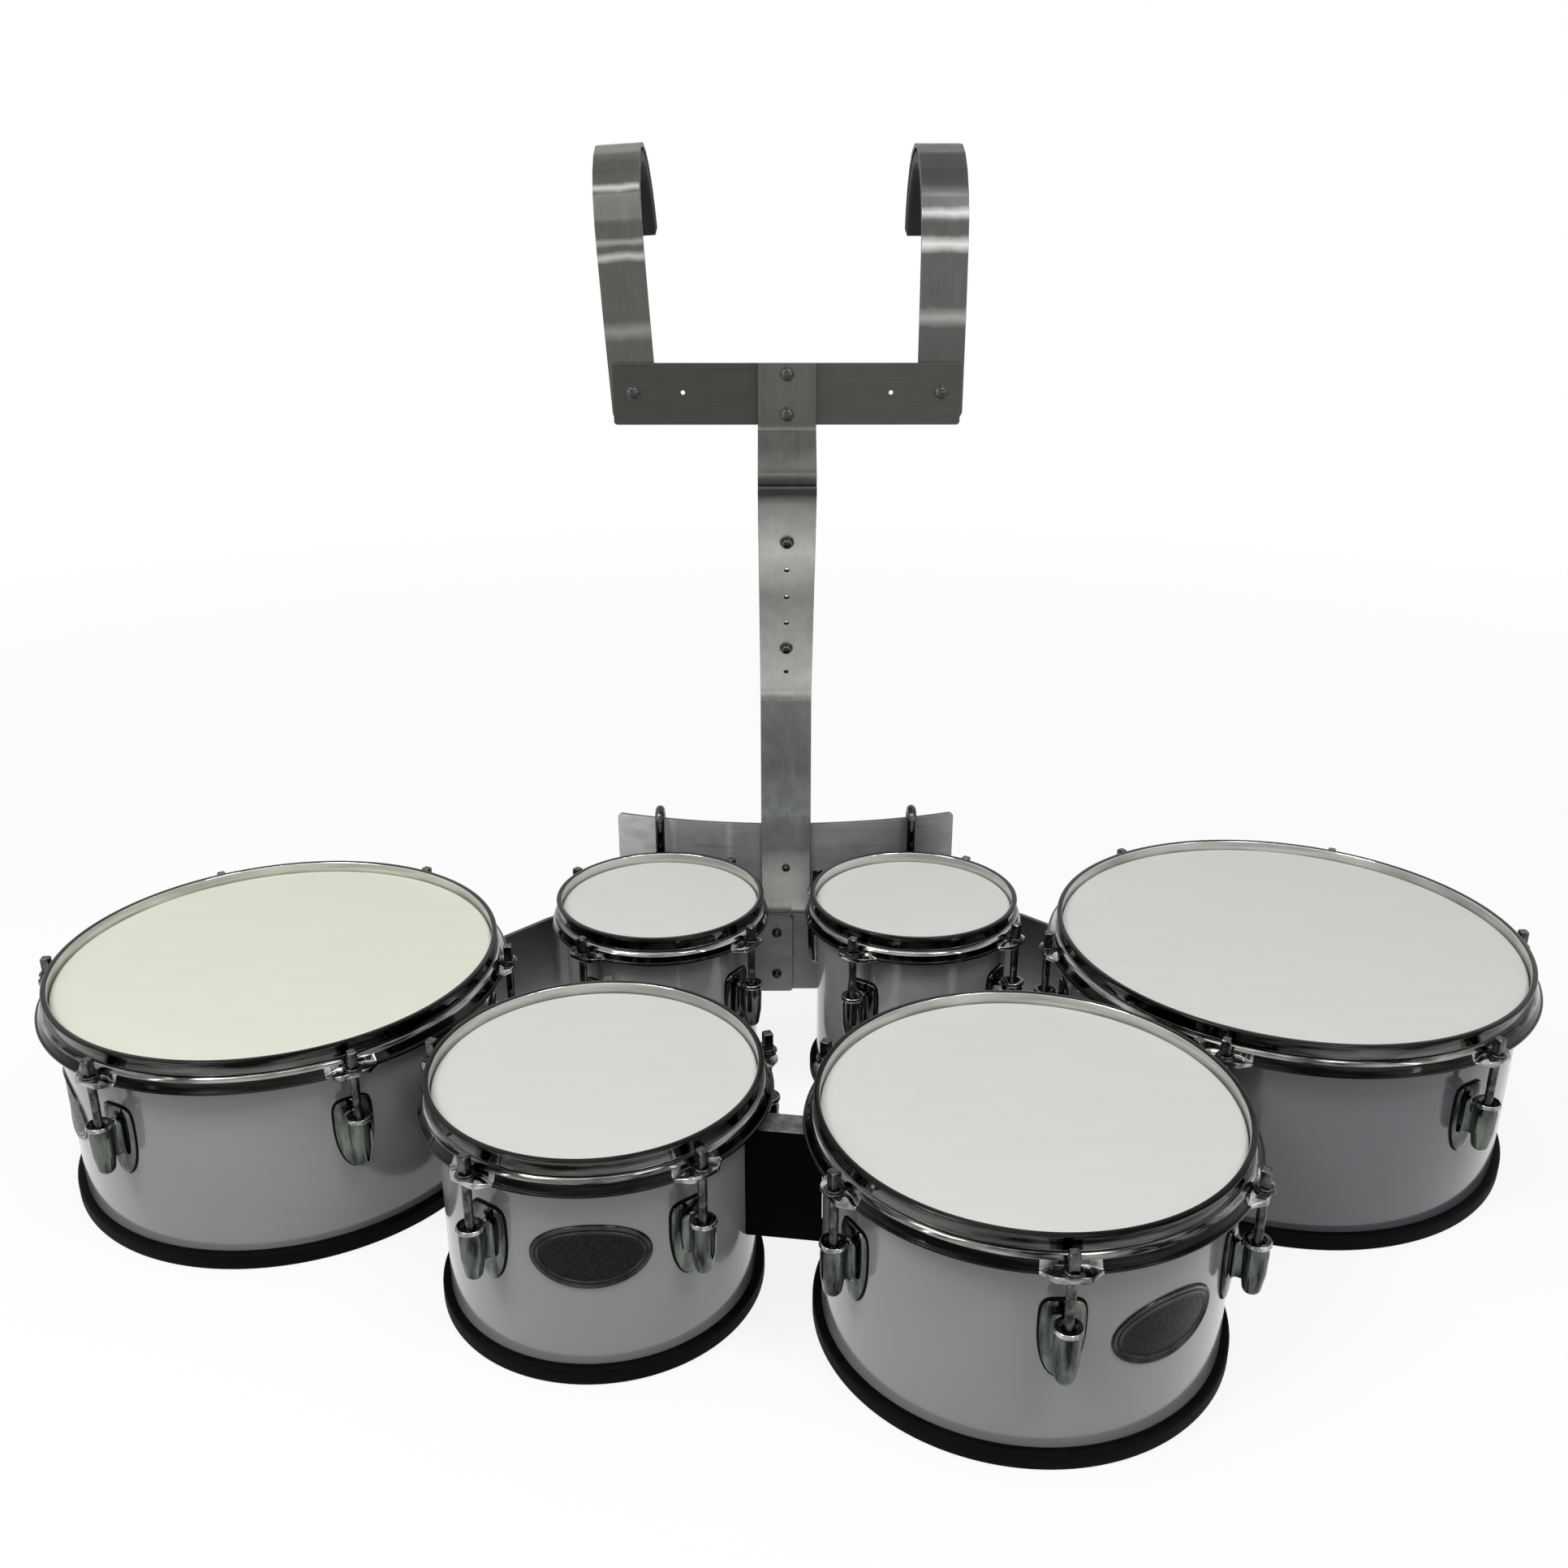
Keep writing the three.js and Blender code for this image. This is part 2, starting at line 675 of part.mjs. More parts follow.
// The upper bar lies behind the lower one, with a slot for the two lap bolts
const upBend = onSlope(slopeLength, lapLayer);
const upNeck = upBend.clone().add(new THREE.Vector2(neckBack, neckRise));
const crossbarBottom = upNeck.y + crossbarLift;
const crossbarTop = crossbarBottom + crossbarHeight;
const upperPath = [
  onSlope(lapStart, lapLayer).toArray(), upBend.toArray(), upNeck.toArray(), [upNeck.x, crossbarTop],
];
const slotHalf = (highBoltPlace - lowBoltPlace) / 2 + slideTravel + holeRadius;
const slotOutline = rectangle(-holeRadius, holeRadius, -slotHalf, slotHalf);
const slot = forwards(slotOutline, lapLayer * 2, lapLayer * 2);
const rivetHeights = [crossbarBottom + rivetInset, crossbarTop - rivetInset];
addPiece(model, 'upper_bar', cut(
  solidOf(crosswise(strip(upperPath, barThickness), barWidth)),
  solidOf(squareToSlope(slot, (lowBoltPlace + highBoltPlace) / 2)),
  ...rivetHeights.map((height) => solidOf(barHole().translate(0, upNeck.x, height))),
), aluminium);

const lapBolt = (place) => solidOf(squareToSlope(
  boltAlongY(-barThickness / 2, lapLayer + barThickness / 2), place,
));
addPiece(model, 'lap_bolt_low', lapBolt(lowBoltPlace), steel);
addPiece(model, 'lap_bolt_high', lapBolt(highBoltPlace), steel);

// The crossbar behind the upper bar, with the two rivets that hold them together
const upperFront = upNeck.x - barThickness / 2;
const crossbarFront = upNeck.x + barThickness / 2 + seatGap;
const crossbarBack = crossbarFront + barThickness;
const hookScrewHeight = crossbarBottom + hookScrewRise;
const hookX = hookSpacing / 2;
const crossbarHoles = [-hookX, spareHoleStep - hookX, hookX - spareHoleStep, hookX].map((x) => (
  solidOf(barHole().translate(x, crossbarFront, hookScrewHeight))
));
const rivets = rivetHeights.map((height) => {
  const headBack = upperFront - seatGap;
  const head = pinAlongY(screwHeadRadius, headBack - screwHeadHeight, headBack, 6);
  const shank = pinAlongY(screwRadius, headBack - overrun, crossbarFront + overrun, 6);
  return join(solidOf(head.translate(0, 0, height)), solidOf(shank.translate(0, 0, height)));
});
const crossbar = forwards(
  rectangle(-crossbarLength / 2, crossbarLength / 2, crossbarBottom, crossbarTop),
  barThickness,
  crossbarBack,
);
addPiece(model, 'crossbar', join(cut(solidOf(crossbar), ...crossbarHoles), ...rivets), aluminium);

// The shoulder hooks: a leg behind the crossbar and an arc over the shoulder
const hookFront = crossbarBack + seatGap;
const hookBack = hookFront + barThickness;
const legMiddle = hookFront + barThickness / 2;
const hookCentre = [legMiddle + legLean + hookRadius, crossbarTop + hookLegRise];
const hookPath = [
  [legMiddle, crossbarBottom + hookFootInset],
  [legMiddle, crossbarTop + legBendRise],
  ...arcPoints(hookCentre, hookRadius, halfTurn, halfTurn - hookSweepAngle, hookFacets),
];
const hookPadRadius = hookRadius - barThickness / 2 - seatGap - hookPadThickness / 2;
const facetAngle = hookSweepAngle / hookFacets;
const hookPadPath = arcPoints(
  hookCentre, hookPadRadius, halfTurn - facetAngle, halfTurn - hookSweepAngle, hookFacets - 1,
);

// Turns a hook's piece about its screw, and moves it to its place on the crossbar
function onCrossbar(geometry, x, tiltAngle) {
  return geometry
    .translate(0, 0, -hookScrewHeight)
    .rotateY(radians(tiltAngle))
    .translate(x, 0, hookScrewHeight);
}

for (const [side, x, tiltAngle] of [
  ['left', -hookX, leftHookTiltAngle], ['right', hookX, rightHookTiltAngle],
]) {
  const hook = onCrossbar(crosswise(strip(hookPath, barThickness), hookWidth), x, tiltAngle);
  const pad = onCrossbar(crosswise(strip(hookPadPath, hookPadThickness), hookPadWidth), x, tiltAngle);
  const hole = barHole().translate(x, legMiddle, hookScrewHeight);
  const screw = boltAlongY(crossbarFront, hookBack).translate(x, 0, hookScrewHeight);
  addPiece(model, `hook_${side}`, cut(solidOf(hook), solidOf(hole)), aluminium);
  addPiece(model, `hook_pad_${side}`, solidOf(pad), foam);
  addPiece(model, `hook_screw_${side}`, solidOf(screw), steel);
}

// The J rods hook over the belly plate and slide in clamps on the spine bands
const jRodX = plateWidth / 2 * jRodShare;
const plateDip = plateRadius - Math.sqrt(plateRadius ** 2 - jRodX ** 2);
const jRodRear = plateFront + plateThickness + plateDip + jRodRadius + seatGap * 3;
const jRodFront = plateFront + plateDip - jRodRadius * 2 - seatGap * 2;
const jBendRadius = (jRodRear - jRodFront) / 2;
const jBendHeight = plateTop - seatGap * 3;
const jBoreRadius = jRodRadius + boreGap;
const clampBottom = bandBottom + clampRise;
const clampTop = clampBottom + clampHeight;
const knobHeight = clampBottom + clampHeight / 2;

function jRodGeometry(x) {
  const path = new THREE.CurvePath();
  const place = (y, z) => new THREE.Vector3(x, y, z);
  const bend = arcPoints([(jRodRear + jRodFront) / 2, jBendHeight], jBendRadius, halfTurn, 0, 6);
  const points = [
    place(jRodFront, jRodBottom), ...bend.map(([y, z]) => place(y, z)),
    place(jRodRear, jBendHeight - jTail),
  ];
  points.slice(1).forEach((point, i) => path.add(new THREE.LineCurve3(points[i], point)));
  const ring = new THREE.Shape(arcPoints([0, 0], jRodRadius, 0, 2 * halfTurn, 6).slice(0, -1).map(
    ([a, b]) => new THREE.Vector2(a, b),
  ));
  return new THREE.ExtrudeGeometry(ring, { steps: 22, extrudePath: path, bevelEnabled: false });
}

for (const [side, x, bandBack] of [['left', -jRodX, leftBandBack], ['right', jRodX, rightBandBack]]) {
  const clampBack = jRodFront + jRodRadius + clampMargin;
  const block = prism(rectangle(
    x - clampWidth / 2, x + clampWidth / 2, bandBack + seatGap, clampBack,
  ), clampHeight).translate(0, 0, clampBottom);
  const bore = revolve([
    [0, clampBottom - overrun], [jBoreRadius, clampBottom - overrun],
    [jBoreRadius, clampTop + overrun], [0, clampTop + overrun],
  ], 8).rotateZ(Math.PI / 8).translate(x, jRodFront, 0);
  const thread = pinAlongY(holeRadius, jRodFront, clampBack + overrun, 6).translate(x, 0, knobHeight);
  const knob = revolve([
    [0, jRodFront + jRodRadius + seatGap], [screwRadius, jRodFront + jRodRadius + seatGap],
    [screwRadius, clampBack + knobNeck], [knobRadius, clampBack + knobNeck],
    [knobRadius, clampBack + knobNeck + knobLength], [0, clampBack + knobNeck + knobLength],
  ], 8).rotateX(-Math.PI / 2).translate(x, 0, knobHeight);
  addPiece(model, `rod_clamp_${side}`, cut(solidOf(block), solidOf(bore), solidOf(thread)), steel);
  addPiece(model, `clamp_knob_${side}`, solidOf(knob), blackPaint);
  addPiece(model, `j_rod_${side}`, solidOf(jRodGeometry(x)), chrome);
}

// The origin is the middle of the whole object's footprint, on the floor
const bounds = new THREE.Box3().setFromObject(model);
const middle = bounds.getCenter(new THREE.Vector3());
model.position.set(-middle.x, -middle.y, -bounds.min.z);
model.updateMatrixWorld(true);

export default model;
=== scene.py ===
import math

import bmesh
import bpy
from mathutils import Matrix, Vector, noise


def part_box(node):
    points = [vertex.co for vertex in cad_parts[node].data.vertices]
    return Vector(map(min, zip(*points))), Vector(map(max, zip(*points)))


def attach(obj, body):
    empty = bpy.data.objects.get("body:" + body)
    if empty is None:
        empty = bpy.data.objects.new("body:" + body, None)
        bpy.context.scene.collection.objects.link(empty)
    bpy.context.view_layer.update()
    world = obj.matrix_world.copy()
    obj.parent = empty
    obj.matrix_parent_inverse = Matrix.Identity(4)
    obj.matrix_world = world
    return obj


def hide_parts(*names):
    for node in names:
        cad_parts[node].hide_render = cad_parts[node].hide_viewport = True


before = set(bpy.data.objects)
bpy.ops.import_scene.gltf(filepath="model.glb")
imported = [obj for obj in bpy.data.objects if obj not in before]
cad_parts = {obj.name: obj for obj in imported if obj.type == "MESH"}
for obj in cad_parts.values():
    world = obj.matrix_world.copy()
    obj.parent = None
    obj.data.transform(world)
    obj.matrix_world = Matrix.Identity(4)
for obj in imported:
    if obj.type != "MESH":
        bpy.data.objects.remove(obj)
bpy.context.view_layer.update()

# Marching tenor drums: six white drums with chrome hoops and lugs on one frame, and the shoulder
# carrier behind them. Lengths are in metres, in the frame's own axes: X across the player, Y from
# the audience to the player, Z up.
MM = 0.001


def add_object(name, data):
    made = bpy.data.objects.new(name, data)
    bpy.context.scene.collection.objects.link(made)
    return made


# The camera, at the photograph's viewing angle
CAMERA_PLACE = (-0.0166, -0.9227, 0.6559)
CAMERA_PITCH = 20.91
CAMERA_TURN = 0.36
CAMERA_LENS = 33.67
CAMERA_SENSOR = 36


def make_camera():
    data = bpy.data.cameras.new("camera")
    data.sensor_width = CAMERA_SENSOR
    data.lens = CAMERA_LENS
    data.clip_start = 0.01
    camera = add_object("camera", data)
    camera.location = CAMERA_PLACE
    camera.rotation_euler = (math.radians(90 - CAMERA_PITCH), 0, math.radians(-CAMERA_TURN))
    bpy.context.scene.camera = camera


make_camera()

# Clearances and sizes that the drums share
SEAT_GAP = 0.3 * MM
MERGE = 0.002 * MM
SHELL_INSET = 1 * MM
SHELL_WALL = 6 * MM
EDGE_BEVEL = 3.2 * MM
HEAD_HEIGHT = 154 * MM
FILM = 0.6 * MM
FILM_REACH = 0.9 * MM
FILM_ROUNDING = 2.6 * MM
FLESH_REACH = 4.6 * MM
FLESH_TOP = HEAD_HEIGHT - 7 * MM
FLESH_BOTTOM = FLESH_TOP - 6 * MM
GUARD_REACH = 5.7 * MM
GUARD_HEIGHT = 12.5 * MM
GUARD_FLOOR = 2.7 * MM
GUARD_ROUND = 2.4 * MM

HOOP_TOP = HEAD_HEIGHT + 7.3 * MM
HOOP_BOTTOM = HEAD_HEIGHT - 13.5 * MM
HOOP_STEP = FLESH_TOP + SEAT_GAP
HOOP_SHEET = 2.8 * MM
HOOP_LEDGE = HOOP_STEP + HOOP_SHEET
HOOP_LIP = 2.4 * MM
HOOP_COLLAR = 2.7 * MM
HOOP_BEAD = 4.2 * MM
HOOP_FINE_STEP = 1.1 * MM
HOOP_COARSE_STEP = 2.5
WIDE_LIP = 3.8 * MM
NARROW_LIP = 1.5 * MM
EAR_HALF_TIP = 7.5 * MM
EAR_HALF_ROOT = 18.5 * MM
EAR_THICKNESS = 4.2 * MM
EAR_MARGIN = 4.5 * MM
EAR_TOP = HOOP_BOTTOM + EAR_THICKNESS

ROD_STAND_OFF = 14 * MM
ROD_RADIUS = 2.9 * MM
ROD_PITCH = 1.25 * MM
THREAD_DEPTH = 0.35 * MM
ROD_HEAD_HEIGHT = 13.8 * MM
ROD_WASHER = 6.4 * MM
ROD_WASHER_TOP = EAR_TOP + 1.3 * MM
ROD_FLANGE_TOP = EAR_TOP + 2.6 * MM
KEY_HALF = 3.1 * MM

LUG_TOP = HEAD_HEIGHT - 38 * MM
LUG_HEIGHT = 52 * MM
LUG_BOTTOM = LUG_TOP - LUG_HEIGHT
LUG_WIDTH = 25.5 * MM
LUG_PLATE = 4 * MM
LUG_WIDEST = LUG_BOTTOM + LUG_HEIGHT * 0.66
BARREL_TOP = LUG_TOP - 5.5 * MM
BARREL_BOTTOM = BARREL_TOP - 38 * MM
BARREL_RADIUS = 8.6 * MM
NECK_STEPS = 8
PLATE_POINTS = 56
THREAD_TOP = BARREL_TOP + 12 * MM
ROD_END = BARREL_TOP - 19 * MM

BADGE_WIDTH = 74 * MM
BADGE_HEIGHT = 45 * MM
HIGH_BADGE = 91 * MM
LOW_BADGE = 83 * MM


def ring_centre(node):
    """The middle of a turned CAD node: the mean of its corners."""
    corners = {tuple(round(c, 6) for c in v.co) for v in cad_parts[node].data.vertices}
    return Vector((sum(c[0] for c in corners), sum(c[1] for c in corners), 0)) / len(corners)


class Drum:
    """One drum's place, the radii that follow from its head, and its finish."""

    def __init__(self, name, head, lugs, first_lug, lip, badge=None, badge_middle=0.0, film="film",
                 coat="lacquer", segments=144):
        self.name = name
        self.centre = ring_centre(f"{name}_edge_guard")
        self.nominal = head * MM / 2
        self.shell_out = self.nominal - SHELL_INSET
        self.shell_in = self.shell_out - SHELL_WALL
        self.seat = self.shell_out + SEAT_GAP
        self.wall_in = self.nominal + FLESH_REACH + SEAT_GAP
        self.wall_out = self.wall_in + HOOP_SHEET
        self.hoop_out = self.wall_out + lip
        self.rod_circle = self.nominal + ROD_STAND_OFF
        self.lug_angles = [math.radians(first_lug + i * 360 / lugs) for i in range(lugs)]
        self.badge = badge
        self.badge_middle = badge_middle
        self.film = film
        self.coat = coat
        self.segments = segments

    def at(self, angle=0.0, outwards=0.0):
        """The place on the drum at a bearing from the audience, at a distance from its axis."""
        turn = Matrix.Rotation(angle, 4, "Z")
        return Matrix.Translation(self.centre) @ turn @ Matrix.Translation((0, -outwards, 0))

    def put(self, mesh, materials, slot, replaced=None, angle=0.0):
        """Adds a piece that stays with the drum set."""
        nodes = [f"{self.name}_{replaced}"] if replaced else ()
        new_object(mesh, materials, "drum_set", self.at(angle), nodes)


DRUMS = [
    Drum("six_left", 152.4, 4, 53.5, NARROW_LIP, segments=96),
    Drum("six_right", 152.4, 4, 55.5, NARROW_LIP, segments=96),
    Drum("eight", 203.2, 5, 38, WIDE_LIP, 3, HIGH_BADGE, segments=120),
    Drum("ten", 254, 6, 0, WIDE_LIP, 30, LOW_BADGE),
    Drum("twelve", 304.8, 6, 33, WIDE_LIP, -57, LOW_BADGE, "warm film"),
    # The thirteen's coat is the same white lacquer, darker and cooler: painted shade.
    Drum("thirteen", 330.2, 6, 30, WIDE_LIP, coat="lacquer in painted shade"),
]
BY_NAME = {drum.name: drum for drum in DRUMS}


# Shader nodes
def feed(tree, socket, value):
    """Links an input to another node's output, or sets it to a value."""
    if isinstance(value, bpy.types.NodeSocket):
        tree.links.new(value, socket)
    else:
        socket.default_value = value


def add_node(tree, kind, inputs=None, **settings):
    made = tree.nodes.new(kind)
    for name, value in settings.items():
        setattr(made, name, value)
    for name, value in (inputs or {}).items():
        feed(tree, made.inputs[name], value)
    return made


def add_math(tree, operation, first, second):
    return add_node(tree, "ShaderNodeMath", {0: first, 1: second}, operation=operation).outputs[0]


def add_range(tree, value, low, high, first, last):
    inputs = {"Value": value, "From Min": low, "From Max": high, "To Min": first, "To Max": last}
    return add_node(tree, "ShaderNodeMapRange", inputs).outputs["Result"]


class Shader:
    """A Principled material, with short ways to add the nodes that it needs."""

    def __init__(self, name, color, roughness, metallic=0.0, **sockets):
        self.material = bpy.data.materials.new(name)
        self.material.use_nodes = True
        self.tree = self.material.node_tree
        self.principled = self.tree.nodes["Principled BSDF"]
        self.feed("Base Color", (*color, 1))
        self.feed("Roughness", roughness)
        self.feed("Metallic", metallic)
        for socket, value in sockets.items():
            self.feed(socket.replace("_", " "), value)
        self.relief = None

    def feed(self, socket, value):
        feed(self.tree, self.principled.inputs[socket], value)

    def place(self, stretch=(1, 1, 1), flat=False):
        """Object coordinates, or those of a bar's flat blank, stretched along each axis."""
        if flat:
            source = add_node(self.tree, "ShaderNodeAttribute", attribute_name="flat").outputs["Vector"]
        else:
            source = add_node(self.tree, "ShaderNodeTexCoord").outputs["Object"]
        inputs = {"Vector": source, "Scale": stretch}
        return add_node(self.tree, "ShaderNodeMapping", inputs).outputs["Vector"]

    def noise(self, place, scale, detail=3.0, roughness=0.5):
        inputs = {"Vector": place, "Scale": scale, "Detail": detail, "Roughness": roughness}
        return add_node(self.tree, "ShaderNodeTexNoise", inputs).outputs["Fac"]

    def cells(self, place, scale):
        inputs = {"Vector": place, "Scale": scale}
        return add_node(self.tree, "ShaderNodeTexVoronoi", inputs).outputs["Distance"]

    def along(self):
        """The length along a bent bar, with a slight waver."""
        split = add_node(self.tree, "ShaderNodeSeparateXYZ", {"Vector": self.place(flat=True)})
        waver = self.noise(self.place(flat=True), 60)
        shift = add_range(self.tree, waver, 0.3, 0.7, -0.9 * MM, 0.9 * MM)
        return add_math(self.tree, "ADD", split.outputs["X"], shift)

    def highlight_line_share(self, at, half, share):
        """A share for a painted highlight line, fading to nought at a half width from a place along a bar.
        """
        off = add_math(self.tree, "ABSOLUTE", add_math(self.tree, "SUBTRACT", self.along(), at), 0.0)
        return add_range(self.tree, off, 0, half, share, 0)

    def stops(self, value, tones):
        """A colour that passes through greys or colours, each at its own value."""
        made = add_node(self.tree, "ShaderNodeValToRGB", {"Fac": value})
        elements = made.color_ramp.elements
        while len(elements) < len(tones):
            elements.new(0.5)
        for element, (at, tone) in zip(elements, tones):
            element.position = at
        for element, (at, tone) in zip(elements, tones):
            element.color = (*tone, 1) if isinstance(tone, tuple) else (tone, tone, tone, 1)
        return made.outputs["Color"]

    def ramp(self, value, low, high, first, last):
        """Turns a value between low and high into a number or a colour from first to last."""
        return self.stops(value, ((low, first), (high, last)))

    def zones(self, tones):
        """Tones at lengths along a bar."""
        first, last = tones[0][0], tones[-1][0]
        share = add_range(self.tree, self.along(), first, last, 0, 1)
        return self.stops(share, [((at - first) / (last - first), tone) for at, tone in tones])

    def mix(self, share, first, second, blend="MIX"):
        inputs = {0: share, 6: first, 7: second}
        made = add_node(self.tree, "ShaderNodeMix", inputs, data_type="RGBA", blend_type=blend)
        return made.outputs[2]

    def paint(self, color):
        self.feed("Base Color", color)

    def vary_roughness(self, value, low, high, least, most):
        self.feed("Roughness", self.ramp(value, low, high, least, most))

    def bump(self, value, strength, distance):
        """Adds one layer of relief on top of those before it."""
        inputs = {"Strength": strength, "Distance": distance, "Height": value}
        if self.relief:
            inputs["Normal"] = self.relief
        self.relief = add_node(self.tree, "ShaderNodeBump", inputs).outputs["Normal"]
        self.feed("Normal", self.relief)


# Materials
def shade(color, factor):
    return tuple(c * factor for c in color)


def cool(tone):
    return tone * 0.95, tone * 1.02, tone * 1.05


def lacquer(name, color):
    made = Shader(name, color, 0.14, Coat_Weight=0.4, Coat_Roughness=0.05)
    place = made.place()
    # Broad soft lighter and darker patches: partly the lacquer's own uneven tone, partly painted
    # reflection.
    tone_and_reflection = made.noise(place, 7, 2)
    made.paint(made.ramp(tone_and_reflection, 0.3, 0.7, shade(color, 0.91), shade(color, 1.06)))
    made.vary_roughness(made.noise(place, 45, 4), 0.35, 0.75, 0.11, 0.22)
    made.bump(made.noise(place, 160, 2), 0.03, 0.4 * MM)
    made.bump(made.noise(place, 1300, 2), 0.02, 0.1 * MM)
    return made.material


def plywood():
    made = Shader("plywood", (0.50, 0.34, 0.19), 0.55)
    grain = made.noise(made.place((1, 1, 0.06)), 220, 5, 0.6)
    bands = made.noise(made.place((1, 1, 0.2)), 30)
    color = made.ramp(grain, 0.3, 0.7, (0.36, 0.23, 0.12), (0.58, 0.42, 0.26))
    made.paint(made.mix(made.ramp(bands, 0.4, 0.7, 0.0, 0.35), color, (0.62, 0.47, 0.30, 1)))
    made.bump(grain, 0.2, 0.2 * MM)
    return made.material


def chrome(name, color, stretch, scale, low=0.35, high=1.75):
    """Plated steel with painted reflections: dark and light streaks drawn out along the piece."""
    made = Shader(name, color, 0.08, 1.0)
    place = made.place()
    made.vary_roughness(made.noise(place, 70, 4), 0.4, 0.8, 0.05, 0.16)
    # Painted reflections: stretched noise swings the base colour between a low and a high share, like
    # bands of a reflected surround.
    patches = made.noise(made.place(stretch), scale, 3, 0.55)
    made.paint(made.ramp(patches, 0.36, 0.64, shade(color, low), shade(color, high)))
    made.bump(made.noise(place, 38, 1), 0.10, 1.0 * MM)
    made.bump(made.noise(place, 420, 2), 0.03, 0.15 * MM)
    return made.material


def coated_film(name, color):
    made = Shader(name, color, 0.62, Specular_IOR_Level=0.35)
    place = made.place()
    streaks = made.noise(made.place((0.35, 3.0, 1)), 40, 4, 0.6)
    clouds = made.noise(place, 7)
    tone = made.ramp(streaks, 0.3, 0.72, shade(color, 0.975), shade(color, 1.01))
    dull = (*shade(color, 0.955), 1)
    made.paint(made.mix(made.ramp(clouds, 0.35, 0.75, 0.0, 0.7), tone, dull))
    made.vary_roughness(made.noise(place, 300), 0.3, 0.7, 0.52, 0.72)
    made.bump(made.noise(place, 1700), 0.25, 0.12 * MM)
    return made.material


def brushed_bar(name, color, roughness, scuffs=0.3, metallic=1.0, tones=(), highlight_lines=()):
    """Brushed bar: streaks along it, patches where it is scuffed, painted light and shade at places
    along it, and painted highlight lines, each with its place, half width and share."""
    made = Shader(name, color, roughness, metallic)
    streaks = made.noise(made.place((0.02, 1, 1), flat=True), 900, 4, 0.6)
    broad = made.noise(made.place((0.12, 1, 1), flat=True), 70)
    patches = made.noise(made.place((1, 1.3, 1), flat=True), 55, 5, 0.65)
    tone = made.ramp(streaks, 0.25, 0.75, shade(color, 0.86), shade(color, 1.08))
    tone = made.mix(made.ramp(broad, 0.35, 0.7, 0.0, 0.4), tone, (*shade(color, 0.8), 1))
    tone = made.mix(made.ramp(patches, 0.40, 0.68, 0.0, scuffs), tone, (*shade(color, 1.4), 1))
    # Painted light and shade along the bar, multiplied into its colour.
    if tones:
        tone = made.mix(1.0, tone, made.zones(tones), "MULTIPLY")
    # Painted highlights: a light colour mixed in along narrow lines across the bar.
    for at, half, share in highlight_lines:
        tone = made.mix(made.highlight_line_share(at, half, share), tone, (*PAINTED_HIGHLIGHT, 1))
    made.paint(tone)
    made.vary_roughness(made.mix(0.5, streaks, patches), 0.3, 0.7, roughness * 0.75, roughness * 1.35)
    made.bump(streaks, 0.12, 0.06 * MM)
    made.bump(patches, 0.06, 0.2 * MM)
    return made.material


def mottled(name, color, roughness, pattern, paint, metallic=0.0, gloss=(), relief=(), grain=(),
            flat=None, **sockets):
    """A finish led by one pattern: noise, or cells where only a scale is given. The paint is a low
    and a high value with the colour at each, and the gloss the same with roughnesses. The relief is
    the pattern's strength and depth. The grain is a finer noise's scale, detail, strength and depth."""
    made = Shader(name, color, roughness, metallic, **sockets)
    place = made.place(flat, flat=True) if flat else made.place()
    value = made.noise(place, *pattern) if len(pattern) > 1 else made.cells(place, *pattern)
    made.paint(made.ramp(value, *paint))
    if gloss:
        made.vary_roughness(value, *gloss)
    if relief:
        made.bump(value, *relief)
    if grain:
        made.bump(made.noise(place, *grain[:2]), *grain[2:])
    return made.material


# The colour of the painted highlight lines.
PAINTED_HIGHLIGHT = (0.80, 0.80, 0.76)
ROUND_HOOP = (1, 1, 12)
DOWN_LUG = (1, 1, 0.22)
EVEN = (1, 1, 1)

# Painted light and shade at lengths along each bar: brighter and darker zones, some tinted, from its lower
# or left end, in metres
LOWER_BAR_PAINTED_LIGHT = (
    (0.0, 0.62), (0.01, 0.9), (0.02, 0.66), (0.04, 0.76), (0.06, 0.53), (0.067, cool(0.35)),
    (0.1, cool(0.4)), (0.15, cool(0.2)), (0.198, cool(0.22)), (0.206, 0.95), (0.217, 1.05),
    (0.25, 0.85), (0.32, 0.48), (0.365, 0.95), (0.413, 0.42), (0.423, 0.08),
)
UPPER_BAR_PAINTED_LIGHT = (
    (0.0, 1.0), (0.2, 0.5), (0.205, 0.11), (0.2125, 0.55), (0.22, 1.05), (0.237, 0.73), (0.279, 0.9),
)
CROSSBAR_PAINTED_LIGHT = ((0.0, 0.8), (0.095, 0.78), (0.108, 0.6), (0.14, 0.8), (0.16, 1.0), (0.249, 0.95))
LEFT_HOOK_PAINTED_LIGHT = ((0.0, 1.0), (0.16, 0.95), (0.18, 0.8), (0.2, 1.6), (0.33, 1.0))
RIGHT_HOOK_PAINTED_LIGHT = ((0.0, 0.6), (0.05, 0.7), (0.075, 0.82), (0.12, 0.86), (0.165, 0.5), (0.33, 0.8))
PLATE_PAINTED_LIGHT = (
    (0.0, 1.0), (0.045, 1.0), (0.055, 0.45), (0.14, 0.36), (0.2, 0.45), (0.26, 0.3), (0.3, 0.75),
)

# Painted highlight lines: place along the bar, half width and share
LOWER_BAR_HIGHLIGHT_LINES = ((0.2165, 2 * MM, 0.6), (0.2105, 1.2 * MM, 0.35))
LEFT_HOOK_HIGHLIGHT_LINES = (
    (0.157, 4 * MM, 0.6), (0.1195, 3 * MM, 0.3), (0.11, 4 * MM, 0.55), (0.0605, 7 * MM, 0.2),
)
RIGHT_HOOK_HIGHLIGHT_LINES = (
    (0.154, 5 * MM, 0.1), (0.139, 5 * MM, 0.35), (0.118, 6 * MM, 0.9), (0.0695, 7 * MM, 0.35),
)
PLATE_HIGHLIGHT_LINES = ((0.1, 4 * MM, 0.3),)

